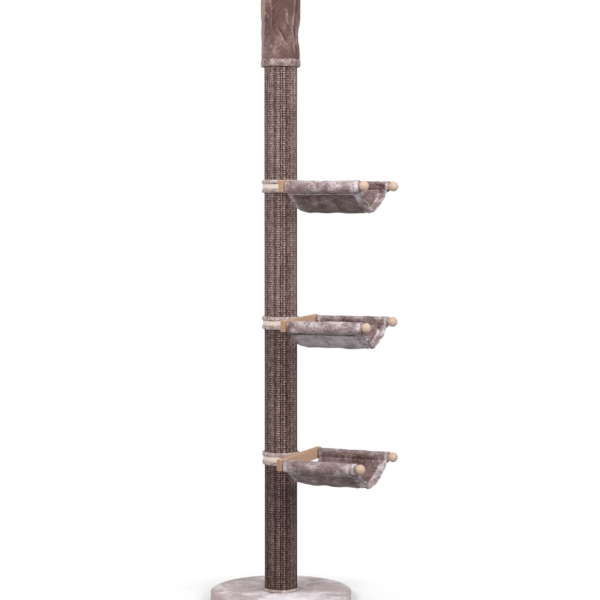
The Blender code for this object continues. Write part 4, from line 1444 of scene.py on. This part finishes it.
    def strap(self) -> bpy.types.Object:
        """Returns the cream webbing strap, with its two ends turned onto the crossbar's back."""
        line = resampled(self.strap_line(), 320)
        path = np.column_stack([line, np.zeros(len(line))])
        across = np.tile([0.0, 0.0, 1.0], (len(path), 1))
        half, thick = self.strap_width / 2, self.strap_thickness / 2
        sides = np.linspace(-1, 1, 9)
        bulge = np.sqrt(np.clip(1 - np.abs(sides) ** 6, 0.04, 1))
        upper = np.stack([sides * half, thick * bulge], axis=-1)
        lower = np.stack([sides[::-1] * half, -thick * bulge], axis=-1)
        section = np.concatenate([upper, lower])
        points = tube_along(path, across, section)
        step = float(np.linalg.norm(line[1] - line[0]))
        webbing = Lattice(points, columns_close=True, uv_step=(half / 4, step))
        made = webbing.piece(f"webbing_strap_{self.name}")
        capped(made, len(section))
        layer = made.data.uv_layers[0]
        values = np.empty(len(layer.data) * 2)
        layer.data.foreach_get("uv", values)
        layer.data.foreach_set("uv", values.reshape(-1, 2)[:, ::-1].ravel())
        self.put(made, CREAM_WEBBING, "webbing", f"strap_{self.name}")
        return made

    def screws(self) -> bpy.types.Object:
        """Returns the screws in the crossbar's back: one in each end of the strap and one in each dowel."""
        heads = []
        tab = self.bar_back - CLEARANCE - self.strap_thickness
        for side in (-1, 1):
            heads.append(self.screw_head((tab, side * 0.0895, 0.0), 0.0052, 0.0024, washer=0.0078))
            behind_dowel = (self.bar_back - 0.0002, side * self.half_spacing, 0.0)
            heads.append(self.screw_head(behind_dowel, 0.0060, 0.0026, washer=0.0))
        mesh = bpy.data.meshes.new(f"bar_screws_{self.name}")
        made = bpy.data.objects.new(mesh.name, mesh)
        bpy.context.scene.collection.objects.link(made)
        points, faces = [], []
        for own_points, own_faces in heads:
            faces += [[index + len(points) for index in face] for face in own_faces]
            points += own_points
        mesh.from_pydata(points, [], faces)
        mesh.shade_smooth()
        mesh.set_sharp_from_angle(angle=math.radians(40))
        self.put(made, PLATED, "steel")
        return made

    def screw_head(
        self, seat: tuple[float, float, float], radius: float, height: float, washer: float
    ) -> tuple[list[tuple[float, float, float]], list[list[int]]]:
        """Makes a domed screw head that faces the post, with a six-sided socket.

        Args:
            seat: The middle of the face that the head or its washer bears on.
            radius: The head's radius.
            height: How far it stands proud.
            washer: The washer's radius, or 0 for none.

        Returns:
            The points and faces.
        """
        sides = 24
        base = 0.0009 if washer else 0.0
        rings = [(washer, 0.0), (washer, base)] if washer else []
        rings += [(radius, base), (radius, base + height * 0.35)]
        rings += [(radius * 0.86, base + height * 0.82), (radius * 0.62, base + height)]
        socket = radius * 0.42
        rings += [(socket, base + height), (socket * 0.96, base + height * 0.3), (0.0, base + height * 0.3)]
        points = []
        for number, (reach, out) in enumerate(rings):
            for step in range(sides):
                turn = math.tau * step / sides
                snug = reach
                if number >= len(rings) - 3:
                    corner = (turn + math.pi / 6) % (math.pi / 3) - math.pi / 6
                    snug = reach * math.cos(math.pi / 6) / math.cos(corner)
                across, up = snug * math.cos(turn), snug * math.sin(turn)
                points.append((seat[0] - out, seat[1] + across, seat[2] + up))
        faces = []
        for ring in range(len(rings) - 1):
            near, far = ring * sides, (ring + 1) * sides
            for step in range(sides):
                after = (step + 1) % sides
                faces.append([near + step, near + after, far + after, far + step])
        faces.append(list(range(sides)))
        return points, faces


# The studio


@dataclass
class Studio:
    """A pale floor that fades into a white room, soft lamps and the camera."""

    turn: float = 21.3  # degrees that the camera stands round the post from the front
    distance: float = 7.509  # metres from the post's axis
    side_step: float = 0.081  # metres to the right of the line to the post
    height: float = 1.707
    tilt: float = 3.28  # degrees below level
    lens: float = 106.8  # millimetres, as is the sensor
    sensor: float = 36.0
    floor_fade: tuple[float, float] = (0.31, 0.55)  # radii between which the floor fades into white
    glow: tuple[float, float] = (0.38, 0.46)  # the room's light from below and from above

    def build(self) -> None:
        """Makes the camera, the floor, the lamps and the surroundings."""
        self.camera()
        self.floor()
        self.lamp("key_softbox", (-1.3, -4.5, 3.4), 2.2, 175.0)
        self.lamp("top_softbox", (0.4, -0.4, 5.4), 4.0, 70.0)
        self.lamp("right_softbox", (4.4, -1.7, 2.8), 2.4, 160.0)
        self.surroundings()
        bpy.context.scene.view_settings.view_transform = "Standard"

    def camera(self) -> None:
        """Sets the camera a step to the side of the line to the post, tilted a little down."""
        turn, tilt = math.radians(self.turn), math.radians(self.tilt)
        back = Vector((math.sin(turn), -math.cos(turn), 0.0))
        right = Vector((math.cos(turn), math.sin(turn), 0.0))
        camera = bpy.data.objects.new("camera", bpy.data.cameras.new("camera"))
        bpy.context.scene.collection.objects.link(camera)
        camera.location = back * self.distance + right * self.side_step + Vector((0, 0, self.height))
        ahead = -back * math.cos(tilt) - Vector((0, 0, math.sin(tilt)))
        camera.rotation_mode = "QUATERNION"
        camera.rotation_quaternion = ahead.to_track_quat("-Z", "Y")
        camera.data.sensor_width = self.sensor
        camera.data.lens = self.lens
        camera.data.clip_end = 100.0
        bpy.context.scene.camera = camera

    def floor(self) -> None:
        """Lays the pale floor."""
        points = turned(np.array([(0.01, 0.0), (self.floor_fade[1], 0.0)]), 96)
        floor = Lattice(points, columns_close=True).piece("floor")
        bench = NodeBench("floor_paint")
        level = bench.stretched("Object", (1.0, 1.0, 0.0))
        far = bench.node("ShaderNodeVectorMath", {0: level}, operation="LENGTH").outputs["Value"]
        there = bench.spread(far, self.floor_fade[1], self.floor_fade[0])
        cloud = bench.noise(bench.places.outputs["Object"], 1.4, 2.0)
        whites = [(0.0, srgb(240, 240, 240)), (1.0, srgb(246, 246, 246))]
        colour = bench.ramp(bench.spread(cloud, 0.2, 0.8), whites)
        floor.data.materials.append(bench.done(colour, 0.9, None, specular_ior_level=0.1, alpha=there))

    def lamp(self, name: str, place: tuple[float, float, float], side: float, watts: float) -> None:
        """Hangs a square soft lamp that faces the middle of the post.

        Args:
            name: Its name.
            place: Where it hangs.
            side: How wide it is.
            watts: Its power.
        """
        light = bpy.data.lights.new(name, "AREA")
        light.shape = "SQUARE"
        light.size = side
        light.energy = watts
        lamp = bpy.data.objects.new(name, light)
        bpy.context.scene.collection.objects.link(lamp)
        lamp.location = place
        aim = Vector((0.1, 0.0, 1.3)) - Vector(place)
        lamp.rotation_mode = "QUATERNION"
        lamp.rotation_quaternion = aim.to_track_quat("-Z", "Y")

    def surroundings(self) -> None:
        """Fills the room with soft white light, and shows it as plain white."""
        world = bpy.data.worlds.new("white_room")
        world.use_nodes = True
        tree = world.node_tree
        glow = tree.nodes["Background"]
        glow.inputs["Color"].default_value = (1.0, 1.0, 1.0, 1.0)
        places = tree.nodes.new("ShaderNodeTexCoord")
        height = tree.nodes.new("ShaderNodeSeparateXYZ")
        tree.links.new(places.outputs["Generated"], height.inputs[0])
        climb = tree.nodes.new("ShaderNodeMapRange")
        climb.interpolation_type = "SMOOTHSTEP"
        tree.links.new(height.outputs["Z"], climb.inputs["Value"])
        for name, value in zip(("From Min", "From Max", "To Min", "To Max"), (-0.5, 0.6, *self.glow)):
            climb.inputs[name].default_value = value
        tree.links.new(climb.outputs[0], glow.inputs["Strength"])
        seen = tree.nodes.new("ShaderNodeBackground")
        seen.inputs["Color"].default_value = (1.0, 1.0, 1.0, 1.0)
        seen.inputs["Strength"].default_value = 1.0
        path = tree.nodes.new("ShaderNodeLightPath")
        either = tree.nodes.new("ShaderNodeMixShader")
        tree.links.new(path.outputs["Is Camera Ray"], either.inputs[0])
        tree.links.new(glow.outputs[0], either.inputs[1])
        tree.links.new(seen.outputs[0], either.inputs[2])
        tree.links.new(either.outputs[0], tree.nodes["World Output"].inputs["Surface"])
        bpy.context.scene.world = world


def main() -> None:
    """Builds the studio and every sub-assembly."""
    logging.basicConfig(level=logging.INFO, format="%(name)s: %(message)s")
    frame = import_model()
    nodes = frame["nodes"]
    Studio().build()
    parts = [
        Base(nodes),
        Post(nodes),
        Head(nodes),
        # each sling's nap tones carry painted light and shade: dark insides, dark or much lighter undersides,
        # light or dark flap edges
        SlingFrame(nodes, "low", -2.0, 0.102, draw=0.011, lies=(-0.05, -0.55, -1.50, 0.9), seed=101),
        SlingFrame(nodes, "middle", 2.0, 0.098, draw=0.014, lies=(0.30, 2.90, -1.30, -1.6), seed=201),
        SlingFrame(nodes, "top", 0.0, 0.109, draw=0.018, lies=(0.25, -0.95, -1.50, 1.6), seed=301),
    ]
    for part in parts:
        for piece in part.build():
            LOG.info("%s made %s", type(part).__name__, piece.name)


if __name__ == "__main__":
    main()
